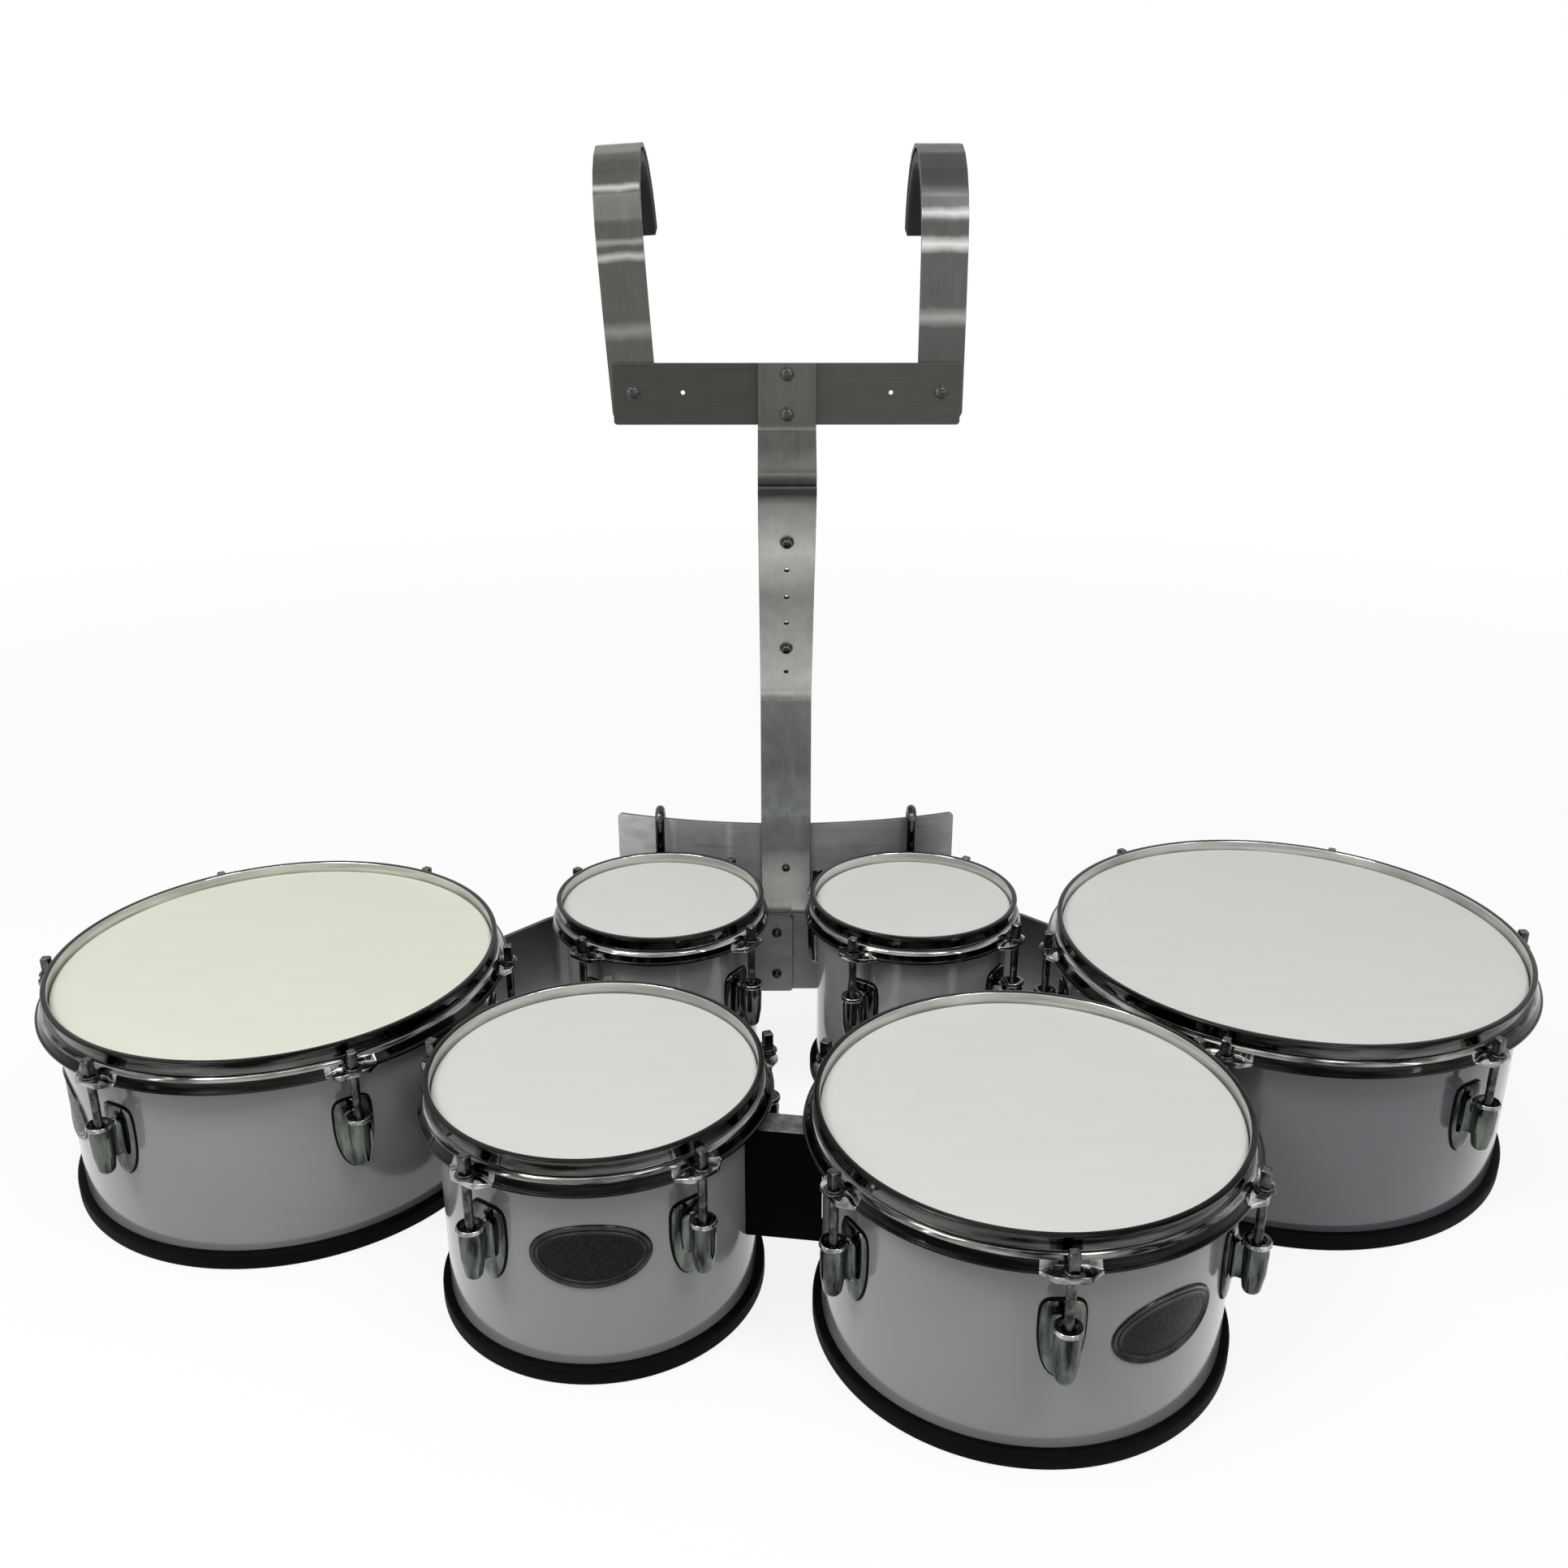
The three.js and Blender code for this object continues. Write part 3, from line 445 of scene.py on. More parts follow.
MATERIALS = {
    "lacquer": lacquer("white lacquer", (0.374, 0.386, 0.378)),
    # A darker, cooler copy of the white lacquer: painted shade.
    "lacquer in painted shade": lacquer("shaded white lacquer", (0.17, 0.178, 0.19)),
    "plywood": plywood(),
    # Chrome: base colours kept dark, a painted reflection of a dark surround. Lighter copies are painted
    # highlights and reflections on the lugs' collar rings and the hoops' inner walls, ledges and ears; the
    # darkest copy is painted shade on the hoops' skirts and bead tops.
    "lug chrome": chrome("lug chrome", (0.075, 0.083, 0.075), DOWN_LUG, 130, 0.2, 1.9),
    "ring chrome": chrome("ring chrome", (0.30, 0.30, 0.29), DOWN_LUG, 200, 0.3, 1.8),
    "rod chrome": chrome("rod chrome", (0.05, 0.05, 0.049), DOWN_LUG, 160, 0.3, 1.9),
    "hoop chrome": chrome("hoop chrome", (0.036, 0.036, 0.0345), ROUND_HOOP, 14, 0.15, 3.6),
    "inner chrome": chrome("inner chrome", (0.58, 0.58, 0.56), ROUND_HOOP, 12, 0.7, 1.2),
    "ledge chrome": chrome("ledge chrome", (0.10, 0.10, 0.095), ROUND_HOOP, 22, 0.1, 3.6),
    "skirt chrome": chrome("skirt chrome", (0.014, 0.014, 0.0135), ROUND_HOOP, 12, 0.3, 2.2),
    "ear chrome": chrome("ear chrome", (0.16, 0.16, 0.155), EVEN, 70, 0.15, 3.0),
    "rim chrome": chrome("rim chrome", (0.035, 0.037, 0.035), EVEN, 60, 0.5, 1.6),
    "film": coated_film("coated film", (0.66, 0.675, 0.64)),
    "warm film": coated_film("warm coated film", (0.73, 0.745, 0.635)),
    "rubber": mottled(
        "black rubber", (0.002, 0.002, 0.002), 0.65, (90, 5, 0.65),
        (0.45, 0.85, (0.0015, 0.0015, 0.002), (0.006, 0.006, 0.006)),
        gloss=(0.3, 0.8, 0.55, 0.75), grain=(900, 3, 0.15, 0.15 * MM), Specular_IOR_Level=0.05,
    ),
    "foam": mottled(
        "black foam", (0.008, 0.008, 0.009), 0.9, (900,),
        (0.1, 0.7, (0.004, 0.004, 0.004), (0.016, 0.016, 0.017)),
        relief=(0.5, 0.4 * MM), grain=(120, 3, 0.3, 0.8 * MM), Sheen_Weight=0.15,
    ),
    # The bars' base colours follow how bright each looks where it stands: dark for the upper bar, crossbar
    # and hooks, light for the lower bar and belly plate. This is painted light and shade on one aluminium.
    "upper bar": brushed_bar("upper bar", (0.125, 0.12, 0.113), 0.32, tones=UPPER_BAR_PAINTED_LIGHT),
    "lower bar": brushed_bar(
        "lower bar", (0.80, 0.79, 0.76), 0.38, 0.5, tones=LOWER_BAR_PAINTED_LIGHT, highlight_lines=LOWER_BAR_HIGHLIGHT_LINES,
    ),
    "crossbar": brushed_bar("crossbar", (0.085, 0.081, 0.075), 0.36, 0.1, tones=CROSSBAR_PAINTED_LIGHT),
    "left hook": brushed_bar(
        "left hook", (0.112, 0.114, 0.100), 0.32, 0.15, tones=LEFT_HOOK_PAINTED_LIGHT,
        highlight_lines=LEFT_HOOK_HIGHLIGHT_LINES,
    ),
    "right hook": brushed_bar(
        "right hook", (0.142, 0.147, 0.138), 0.32, 0.15, tones=RIGHT_HOOK_PAINTED_LIGHT,
        highlight_lines=RIGHT_HOOK_HIGHLIGHT_LINES,
    ),
    "plate": brushed_bar(
        "belly plate", (0.85, 0.86, 0.85), 0.5, 0.2, 0.5, tones=PLATE_PAINTED_LIGHT, highlight_lines=PLATE_HIGHLIGHT_LINES,
    ),
    "band": brushed_bar("spine band", (0.20, 0.197, 0.197), 0.42, 0.1),
    "head ring": brushed_bar("head ring", (0.14, 0.142, 0.138), 0.3),
    # A darker metal for the bars' rims than for their broad faces.
    "edge": mottled(
        "dark bar edge", (0.08, 0.08, 0.078), 0.45, (1600, 3),
        (0.3, 0.7, (0.05, 0.05, 0.048), (0.13, 0.13, 0.125)), 1.0,
        relief=(0.2, 0.08 * MM), flat=(0.15, 1, 1),
    ),
    # Near-black walls for the holes: painted shade.
    "hole": mottled(
        "hole wall", (0.02, 0.02, 0.02), 0.6, (900, 3),
        (0.3, 0.7, (0.008, 0.008, 0.008), (0.035, 0.035, 0.034)), 0.5, relief=(0.1, 0.05 * MM),
    ),
    "steel": mottled(
        "zinc plate", (0.08, 0.08, 0.078), 0.20, (260, 4, 0.6),
        (0.35, 0.75, (0.03, 0.03, 0.028), (0.16, 0.162, 0.158)), 1.0,
        gloss=(0.3, 0.8, 0.16, 0.36), grain=(1500, 2, 0.1, 0.06 * MM),
    ),
    "black paint": mottled(
        "black paint", (0.001, 0.001, 0.0015), 0.42, (60, 5, 0.65),
        (0.5, 0.85, (0.0006, 0.0006, 0.001), (0.002, 0.002, 0.003)),
        gloss=(0.3, 0.8, 0.30, 0.52), grain=(700, 2, 0.12, 0.12 * MM), Specular_IOR_Level=0.02,
    ),
    # Grey for the bridges' top faces: a painted highlight on the black channel.
    "painted top light": mottled(
        "worn grey edge", (0.11, 0.12, 0.115), 0.42, (140, 5, 0.7),
        (0.35, 0.7, (0.05, 0.055, 0.055), (0.21, 0.22, 0.21)), 0.3, relief=(0.2, 0.1 * MM),
    ),
    "badge": mottled(
        "badge enamel", (0.008, 0.009, 0.0085), 0.34, (420,),
        (0.15, 0.75, (0.002, 0.0025, 0.0025), (0.013, 0.015, 0.014)), 0.2,
        gloss=(0.2, 0.8, 0.22, 0.42), relief=(0.45, 0.35 * MM), Specular_IOR_Level=0.12,
    ),
}


# Mesh helpers
LAID_BACK = Matrix.Rotation(math.radians(-90), 4, "X")


def rounded(corners, steps=4, closed=True):
    """An outline of (a, b, radius) corners with each corner turned into an arc."""
    points = []
    count = len(corners)
    for i, (a, b, radius) in enumerate(corners):
        here = Vector((a, b))
        if not closed and i in (0, count - 1):
            points.append(here)
            continue
        before = (here - Vector(corners[i - 1][:2])).normalized()
        after = (Vector(corners[(i + 1) % count][:2]) - here).normalized()
        turn = turn_between(before, after)
        start = here - before * radius * math.tan(abs(turn) / 2)
        centre = start + Vector((-before.y, before.x)) * math.copysign(radius, turn)
        for k in range(steps + 1):
            points.append(centre + Matrix.Rotation(turn * k / steps, 2) @ (start - centre))
    return points


def turn_between(before, after):
    return math.atan2(before.x * after.y - before.y * after.x, before.dot(after))


def circle(count):
    """Cosines and sines of evenly spaced angles."""
    angles = [2 * math.pi * k / count for k in range(count)]
    return [(math.cos(a), math.sin(a)) for a in angles]


def power(value, exponent):
    """A power that keeps the sign, for rounded oblongs."""
    return math.copysign(abs(value) ** exponent, value)


def finish_mesh(bm, name, smooth_angle=35):
    """Merges doubled corners, turns the faces out and makes a mesh with smooth shading."""
    bmesh.ops.remove_doubles(bm, verts=bm.verts, dist=MERGE)
    bmesh.ops.recalc_face_normals(bm, faces=bm.faces)
    mesh = bpy.data.meshes.new(name)
    bm.to_mesh(mesh)
    bm.free()
    return smooth(mesh, smooth_angle)


def smooth(mesh, angle):
    mesh.shade_smooth()
    mesh.set_sharp_from_angle(angle=math.radians(angle))
    return mesh


def add_rings(bm, rings, loop_rings=True, loop_section=True, shades=None):
    """Skins a row of sections, each a list of points, into a band of four-sided faces."""
    corners = [[bm.verts.new(p) for p in ring] for ring in rings]
    size = len(rings[0])
    for i in range(len(rings) if loop_rings else len(rings) - 1):
        here, there = corners[i], corners[(i + 1) % len(rings)]
        for k in range(size if loop_section else size - 1):
            m = (k + 1) % size
            face = bm.faces.new((here[k], here[m], there[m], there[k]))
            if shades:
                face.material_index = shades[i]
    return corners


def skin(name, rings, smooth_angle=35, loop_rings=False):
    """A mesh skinned over a row of sections."""
    bm = bmesh.new()
    add_rings(bm, rings, loop_rings)
    return finish_mesh(bm, name, smooth_angle)


def swing(section, angle):
    """A section of radius and height, stood up at a bearing from the audience."""
    return [(r * math.sin(angle), -r * math.cos(angle), z) for r, z in section]


def add_lathe(bm, profile, segments):
    """Turns an outline of radius and height about Z. One that starts on the axis also ends there."""
    rings = [swing(profile, 2 * math.pi * i / segments) for i in range(segments)]
    add_rings(bm, rings, loop_section=profile[0][0] > 0)


def turned(name, profile, segments, smooth_angle=35):
    bm = bmesh.new()
    add_lathe(bm, profile, segments)
    return finish_mesh(bm, name, smooth_angle)


def add_rod(bm, radius, low, high, segments=20):
    add_lathe(bm, [(0, low), (radius, low), (radius, high), (0, high)], segments)


def add_washer(bm, radius, low, high, edge, segments):
    corners = [(0, low, 0), (radius, low, edge), (radius, high, edge), (0, high, 0)]
    add_lathe(bm, rounded(corners, 2, closed=False), segments)


def add_prism(bm, section, low, high, chamfer=0.0, shrink=None, centre=(0, 0)):
    """Pushes a section of (x, y) points up from low to high, its ends chamfered down to a share of
    the section that follows from the chamfer unless it is given."""
    if shrink is None:
        shrink = 1 - chamfer / max(Vector(p).length for p in section)
    levels = [(low, 0.0), (low, shrink), (low + chamfer, 1.0)]
    levels += [(low + high - z, share) for z, share in reversed(levels)]
    a, b = centre
    rings = [[(a + (x - a) * s, b + (y - b) * s, z) for x, y in section] for z, s in levels]
    add_rings(bm, rings, loop_rings=False)


def polygon(sides, across_flats):
    radius = across_flats / 2 / math.cos(math.pi / sides)
    return [(radius * c, radius * s) for c, s in circle(sides)]


def new_object(mesh, materials, body, matrix=None, replaces=(), name=None):
    """A piece of the object, placed in the frame and riding on a body."""
    made = add_object(name or mesh.name, mesh)
    if not mesh.materials:
        for key in materials:
            mesh.materials.append(MATERIALS[key])
    if matrix is not None:
        made.matrix_world = matrix
    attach(made, body)
    if replaces:
        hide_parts(*replaces)
    return made


def combine(base, others, operation):
    """The mesh of one object joined with, or cut by, others, which are used up."""
    objects = [add_object("work", mesh) for mesh in (base, *others)]
    for other in objects[1:]:
        modifier = objects[0].modifiers.new("boolean", "BOOLEAN")
        modifier.operation = operation
        modifier.solver = "EXACT"
        modifier.object = other
    graph = bpy.context.evaluated_depsgraph_get()
    result = bpy.data.meshes.new_from_object(objects[0].evaluated_get(graph))
    for made in objects:
        bpy.data.objects.remove(made)
    return result


# Drum pieces
def make_shell(drum):
    low = GUARD_FLOOR + SEAT_GAP
    top = HEAD_HEIGHT - FILM - SEAT_GAP
    mesh = turned(f"{drum.name}_shell_tube", rounded([
        (drum.shell_in, low, 0.3 * MM), (drum.shell_out, low, 0.3 * MM),
        (drum.shell_out, top - EDGE_BEVEL, 1.6 * MM), (drum.shell_out - 2.2 * MM, top, 0.8 * MM),
        (drum.shell_in, top - SHELL_WALL * 0.6, 0.5 * MM),
    ]), drum.segments)
    for face in mesh.polygons:
        face.material_index = int(Vector(face.center[:2]).length < drum.shell_out - 1.5 * MM)
    drum.put(mesh, [drum.coat, "plywood"], "shell", "shell")


def make_guard(drum):
    reach = drum.shell_out + GUARD_REACH
    mesh = turned(f"{drum.name}_guard_strip", rounded([
        (drum.shell_in, 0, 0.8 * MM), (reach, 0, GUARD_ROUND), (reach, GUARD_HEIGHT, GUARD_ROUND),
        (drum.seat, GUARD_HEIGHT, 0.4 * MM), (drum.seat, GUARD_FLOOR, 0.2 * MM),
        (drum.shell_in, GUARD_FLOOR, 0.8 * MM),
    ], 5), drum.segments)
    drum.put(mesh, ["rubber"], "edge_guard", "edge_guard")


def make_head(drum):
    """The film with its turned-down collar, and the pressed ring that holds it."""
    under = HEAD_HEIGHT - FILM
    collar = drum.nominal + FILM_REACH
    hem = FLESH_TOP - 2 * MM
    mesh = turned(f"{drum.name}_head_film", rounded([
        (0, HEAD_HEIGHT, 0), (drum.nominal * 0.5, HEAD_HEIGHT, 0.1 * MM),
        (collar, HEAD_HEIGHT, FILM_ROUNDING), (collar, hem, 0.1 * MM),
        (drum.seat, hem, 0.1 * MM), (drum.seat, under, FILM_ROUNDING * 0.5),
        (drum.nominal * 0.5, under, 0.1 * MM), (0, under, 0),
    ], 5, closed=False), drum.segments)
    drum.put(mesh, [drum.film], "head", "head")
    inner, outer = drum.seat + FILM, drum.nominal + FLESH_REACH
    mesh = turned(f"{drum.name}_head_ring", rounded([
        (inner, FLESH_BOTTOM, 0.8 * MM), (outer, FLESH_BOTTOM, 0.9 * MM),
        (outer, FLESH_TOP, 0.9 * MM), (inner, FLESH_TOP, 0.6 * MM),
    ]), drum.segments)
    drum.put(mesh, ["head ring"], "head")


def hoop_section(drum, share):
    """The hoop's outline at one bearing. The share is 0 on the plain flange and 1 at an ear's tip."""
    collar_in = drum.nominal + FILM_REACH + SEAT_GAP
    collar_out = collar_in + HOOP_COLLAR
    bead_out, bead_low = collar_in + HOOP_BEAD, HOOP_TOP - HOOP_LIP
    tip = drum.rod_circle + EAR_MARGIN
    flange = drum.hoop_out + (tip - drum.hoop_out) * share
    flange_top = HOOP_BOTTOM + HOOP_LIP + (EAR_THICKNESS - HOOP_LIP) * share
    skirt = drum.wall_out + (drum.hoop_out - drum.wall_out) * 0.6 * (1 - share)
    return rounded([
        (collar_in, HOOP_STEP, 0.5 * MM), (collar_in, HOOP_TOP, 1.1 * MM),
        (bead_out, HOOP_TOP, 1.1 * MM), (bead_out, bead_low, 1.0 * MM),
        (collar_out, bead_low, 0.5 * MM), (collar_out, HOOP_LEDGE + 1.0 * MM, 0.5 * MM),
        (drum.wall_out - 1.2 * MM, HOOP_LEDGE + 0.2 * MM, 5 * MM),
        (drum.wall_out, HOOP_LEDGE - 2.4 * MM, 0.8 * MM), (skirt, flange_top, 0.7 * MM),
        (flange, flange_top, 0.9 * MM), (flange, HOOP_BOTTOM, 0.9 * MM),
        (drum.wall_in, HOOP_BOTTOM, 0.9 * MM), (drum.wall_in, HOOP_STEP, 1.0 * MM),
    ])


def hoop_angles(drum):
    """Bearings round the hoop, close together at the ears."""
    half = EAR_HALF_ROOT / drum.rod_circle
    steps = round(2 * EAR_HALF_ROOT / HOOP_FINE_STEP)
    gap = 2 * math.pi / len(drum.lug_angles) - 2 * half
    coarse = round(gap / math.radians(HOOP_COARSE_STEP))
    angles = []
    for middle in drum.lug_angles:
        angles += [middle - half + 2 * half * k / steps for k in range(steps + 1)]
        angles += [middle + half + gap * k / coarse for k in range(1, coarse)]
    return angles


def ear_share(drum, angle):
    """How far the flange reaches towards an ear's tip at a bearing."""
    turn = 2 * math.pi / len(drum.lug_angles)
    off = abs((angle - drum.lug_angles[0] + turn / 2) % turn - turn / 2)
    aside = drum.rod_circle * math.sin(off)
    along = min(1, max(0, (EAR_HALF_ROOT - aside) / (EAR_HALF_ROOT - EAR_HALF_TIP)))
    return along * along * (3 - 2 * along)


# Lit and shaded copies of the hoop's chrome, each face given one by where it lies: painted light and
# shade.
HOOP_PAINTED_LIGHTS = ["hoop chrome", "skirt chrome", "ear chrome", "inner chrome", "ledge chrome"]


def hoop_painted_light(drum, x, y, z):
    """The chrome copy for the hoop's face at a place on it: painted shade on the skirt and the bead's top,
    a painted reflection on the inner wall, painted highlights on the ledge and round the ears.
    """
    reach = math.hypot(x, y)
    if z < HOOP_STEP + 0.2 * MM and reach > drum.wall_in + 1 * MM:
        return "skirt chrome" if ear_share(drum, math.atan2(x, -y)) < 0.02 else "ear chrome"
    if z > HOOP_STEP + 0.5 * MM and reach < drum.nominal + FILM_REACH + 0.6 * MM:
        return "inner chrome"
    if z > HOOP_TOP - 0.9 * MM:
        return "skirt chrome"
    if z < HOOP_LEDGE + 0.6 * MM and reach > drum.wall_in - 2 * MM:
        return "ledge chrome"
    return "hoop chrome"


def make_hoop(drum):
    rings = [swing(hoop_section(drum, ear_share(drum, a)), a) for a in hoop_angles(drum)]
    mesh = skin(f"{drum.name}_hoop_rim", rings, 40, loop_rings=True)
    for face in mesh.polygons:
        face.material_index = HOOP_PAINTED_LIGHTS.index(hoop_painted_light(drum, *face.center))
    drum.put(mesh, HOOP_PAINTED_LIGHTS, "chrome", "hoop")


def add_thread(bm, radius, low, high):
    """A threaded length: the radius rises and falls along a helix, and both ends close."""
    around, per_turn = 14, 4
    count = round((high - low) / ROD_PITCH * per_turn)
    rings = [[(0, 0, low)] * around]
    for i in range(count + 1):
        z = low + (high - low) * i / count
        ring = []
        for k, (c, s) in enumerate(circle(around)):
            phase = (z / ROD_PITCH - k / around) % 1
            r = radius - THREAD_DEPTH * abs(2 * phase - 1)
            ring.append((r * c, r * s, z))
        rings.append(ring)
    rings.append([(0, 0, high)] * around)
    add_rings(bm, rings, loop_rings=False)


def rod_mesh():
    """A tension rod: threaded below, plain above, with a washer and a square key head."""
    bm = bmesh.new()
    add_thread(bm, ROD_RADIUS, ROD_END, THREAD_TOP)
    add_rod(bm, ROD_RADIUS, THREAD_TOP, EAR_TOP)
    add_lathe(bm, rounded([
        (ROD_RADIUS, EAR_TOP, 0.1 * MM), (ROD_WASHER, EAR_TOP, 0.3 * MM),
        (ROD_WASHER, ROD_WASHER_TOP, 0.3 * MM), (ROD_RADIUS, ROD_WASHER_TOP, 0.1 * MM),
    ], 2), 24)
    add_lathe(bm, rounded([
        (0, ROD_WASHER_TOP, 0), (5.6 * MM, ROD_WASHER_TOP, 0.5 * MM),
        (5.2 * MM, ROD_FLANGE_TOP, 0.6 * MM), (0, ROD_FLANGE_TOP, 0),
    ], 3, closed=False), 24)
    square = ((-1, -1), (1, -1), (1, 1), (-1, 1))
    key = [tuple(p) for p in rounded([(x * KEY_HALF, y * KEY_HALF, 0.7 * MM) for x, y in square], 3)]
    add_prism(bm, key, ROD_FLANGE_TOP - 0.2 * MM, EAR_TOP + ROD_HEAD_HEIGHT, 0.7 * MM)
    return finish_mesh(bm, "tension_rod", 30)


def egg_outline(grow):
    """The lug plate's outline: broad shoulders above, a narrow round end below."""
    outline = []
    for up, across in circle(PLATE_POINTS):
        exponent = 2 / 4.2 if up >= 0 else 2 / 2.1
        reach = LUG_TOP - LUG_WIDEST if up >= 0 else LUG_WIDEST - LUG_BOTTOM
        outline.append((
            power(across, exponent) * (LUG_WIDTH / 2 + grow),
            LUG_WIDEST + power(up, exponent) * (reach + grow),
        ))
    return outline


def plate_mesh(name, drum, levels, smooth_angle, grow=0.0):
    """A domed plate on the shell. Each level is (inset from the outline, height above the shell)."""
    rings = []
    for inset, height in levels:
        shrink = max(0.0, 1 - inset / (LUG_WIDTH / 2))
        ring = []
        for x, z in egg_outline(grow):
            across = x * shrink
            y = -math.sqrt(drum.shell_out ** 2 - across ** 2) - height
            ring.append((across, y, LUG_WIDEST + (z - LUG_WIDEST) * shrink))
        rings.append(ring)
    return skin(name, rings, smooth_angle)


def neck_mesh(drum):
    """The lug's neck, flared where it meets the plate."""
    sections = []
    start, end = drum.shell_out + 1.5 * MM, drum.rod_circle - 2 * MM
    for k in range(NECK_STEPS + 1):
        share = k / NECK_STEPS
        y = -(start + (end - start) * share)
        flare = (1 - min(1, share * 2.2)) ** 2
        half = 3.9 * MM + 4.6 * MM * flare
        low = BARREL_BOTTOM + (9 - 4.5 * flare) * MM
        high = BARREL_TOP - (3.5 - 4.0 * flare) * MM
        corner = min(half * 0.75, 4 * MM)
        outline = rounded([
            (-half, low, corner), (half, low, corner), (half, high, corner), (-half, high, corner),
        ])
        sections.append([(p.x, y, p.y) for p in outline])
    middle = (BARREL_BOTTOM + BARREL_TOP) / 2
    first, last = ([(0, ring[0][1], middle)] * len(ring) for ring in (sections[0], sections[-1]))
    return skin("neck", [first, *sections, last], 50)


def barrel_mesh(drum):
    """The lug's barrel, with a collar round the bore for the rod."""
    bore, floor = ROD_RADIUS + 0.7 * MM, ROD_END - 2 * MM
    bm = bmesh.new()
    add_lathe(bm, rounded([
        (0, floor, 0), (bore, floor, 0.2 * MM), (bore, BARREL_TOP - 1.4 * MM, 0.2 * MM),
        (5.4 * MM, BARREL_TOP, 0.6 * MM), (BARREL_RADIUS - 0.5 * MM, BARREL_TOP, 0.8 * MM),
        (BARREL_RADIUS, BARREL_TOP - 2.6 * MM, 0.9 * MM), (7.2 * MM, BARREL_TOP - 3.8 * MM, 0.5 * MM),
        (7.7 * MM, BARREL_TOP - 9 * MM, 6 * MM), (7.3 * MM, BARREL_BOTTOM + 15 * MM, 16 * MM),
        (5.2 * MM, BARREL_BOTTOM + 1.6 * MM, 4.5 * MM), (0, BARREL_BOTTOM, 0),
    ], 5, closed=False), 32)
    bmesh.ops.translate(bm, verts=bm.verts, vec=(0, -drum.rod_circle, 0))
    return finish_mesh(bm, "barrel", 40)


def lug_mesh(drum):
    """A bullet lug: its plate, the neck that stands off from it, and the barrel for the rod."""
    plate = plate_mesh("plate", drum, [
        (LUG_WIDTH, -1.2 * MM), (0, -1.2 * MM), (0, 1.5 * MM), (0.25 * MM, 2.1 * MM),
        (0.9 * MM, 2.6 * MM), (2.4 * MM, 3.0 * MM), (5 * MM, 3.4 * MM), (9 * MM, 3.8 * MM),
        (LUG_WIDTH, LUG_PLATE),
    ], 50)
    made = combine(plate, [neck_mesh(drum), barrel_mesh(drum)], "UNION")
    made.name = f"{drum.name}_lug"
    # The outer face of the barrel's collar gets a lighter copy of the chrome: a painted highlight ring.
    for face in made.polygons:
        x, y, z = face.center
        off = math.hypot(x, y + drum.rod_circle)
        face.material_index = int(7.6 * MM < off < 9 * MM and z > BARREL_TOP - 3.4 * MM)
    return smooth(made, 42)


def gasket_mesh(drum):
    return plate_mesh(f"{drum.name}_gasket", drum, [
        (LUG_WIDTH, -0.3 * MM), (0, -0.3 * MM), (0, 0.7 * MM), (0.4 * MM, 1.0 * MM),
        (LUG_WIDTH, 1.0 * MM),
    ], 40, 0.9 * MM)


def lug_screw_mesh(drum):
    """The two screws that hold a lug, seen inside the shell, with their washers."""
    washer = 1.2 * MM
    bm = bmesh.new()
    add_washer(bm, 6 * MM, 0, washer, 0.3 * MM, 20)
    add_lathe(bm, rounded([
        (0, washer, 0), (3.9 * MM, washer, 0.3 * MM), (3.6 * MM, 4.0 * MM, 1.4 * MM), (0, 4.3 * MM, 0),
    ], 3, closed=False), 20)
    mesh = finish_mesh(bm, "head")
    bm = bmesh.new()
    for z in (LUG_BOTTOM + 14 * MM, LUG_TOP - 10 * MM):
        start = len(bm.verts)
        bm.from_mesh(mesh)
        bm.verts.ensure_lookup_table()
        place = Matrix.Translation((0, -drum.shell_in + 0.1 * MM, z)) @ LAID_BACK
        bmesh.ops.transform(bm, matrix=place, verts=bm.verts[start:])
    bpy.data.meshes.remove(mesh)
    return finish_mesh(bm, f"{drum.name}_lug_screws")


def make_fittings(drum, rod):
    """The lugs, gaskets, inner screws and tension rods of one drum."""
    fittings = (
        ("lug", lug_mesh(drum), ["lug chrome", "ring chrome"], "chrome"),
        ("lug_gasket", gasket_mesh(drum), ["rubber"], "edge_guard"),
        ("lug_screws", lug_screw_mesh(drum), ["steel"], "steel"),
    )
    for i, angle in enumerate(drum.lug_angles, 1):
        for piece, mesh, materials, slot in fittings:
            name = f"{drum.name}_{piece}_{i}"
            new_object(mesh, materials, "drum_set", drum.at(angle), name=name)
        node = f"{drum.name}_tension_rod_{i}"
        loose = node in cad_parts
        new_object(
            rod, ["steel"], node if loose else "drum_set",
            drum.at(angle, drum.rod_circle), [node] if loose else (), f"{drum.name}_rod_{i}",
        )


# A badge's rings from its edge to its middle, each (inset, height) in mm: the rim, then an inner
# line, then the pebbled field
BADGE_RINGS = (
    (0, 0.0), (0, 0.7), (0.4, 1.25), (1.1, 1.5), (1.9, 1.4), (2.5, 0.75), (2.9, 0.7),
    (4.2, 0.72), (4.6, 1.0), (5.1, 1.0), (5.5, 0.72), (8, 0.75), (12, 0.85),
)
BADGE_RIM = 2.9
BADGE_LINE = (4.2, 5.5)
BADGE_MIDDLE = 0.95 * MM
BADGE_POINTS = 96


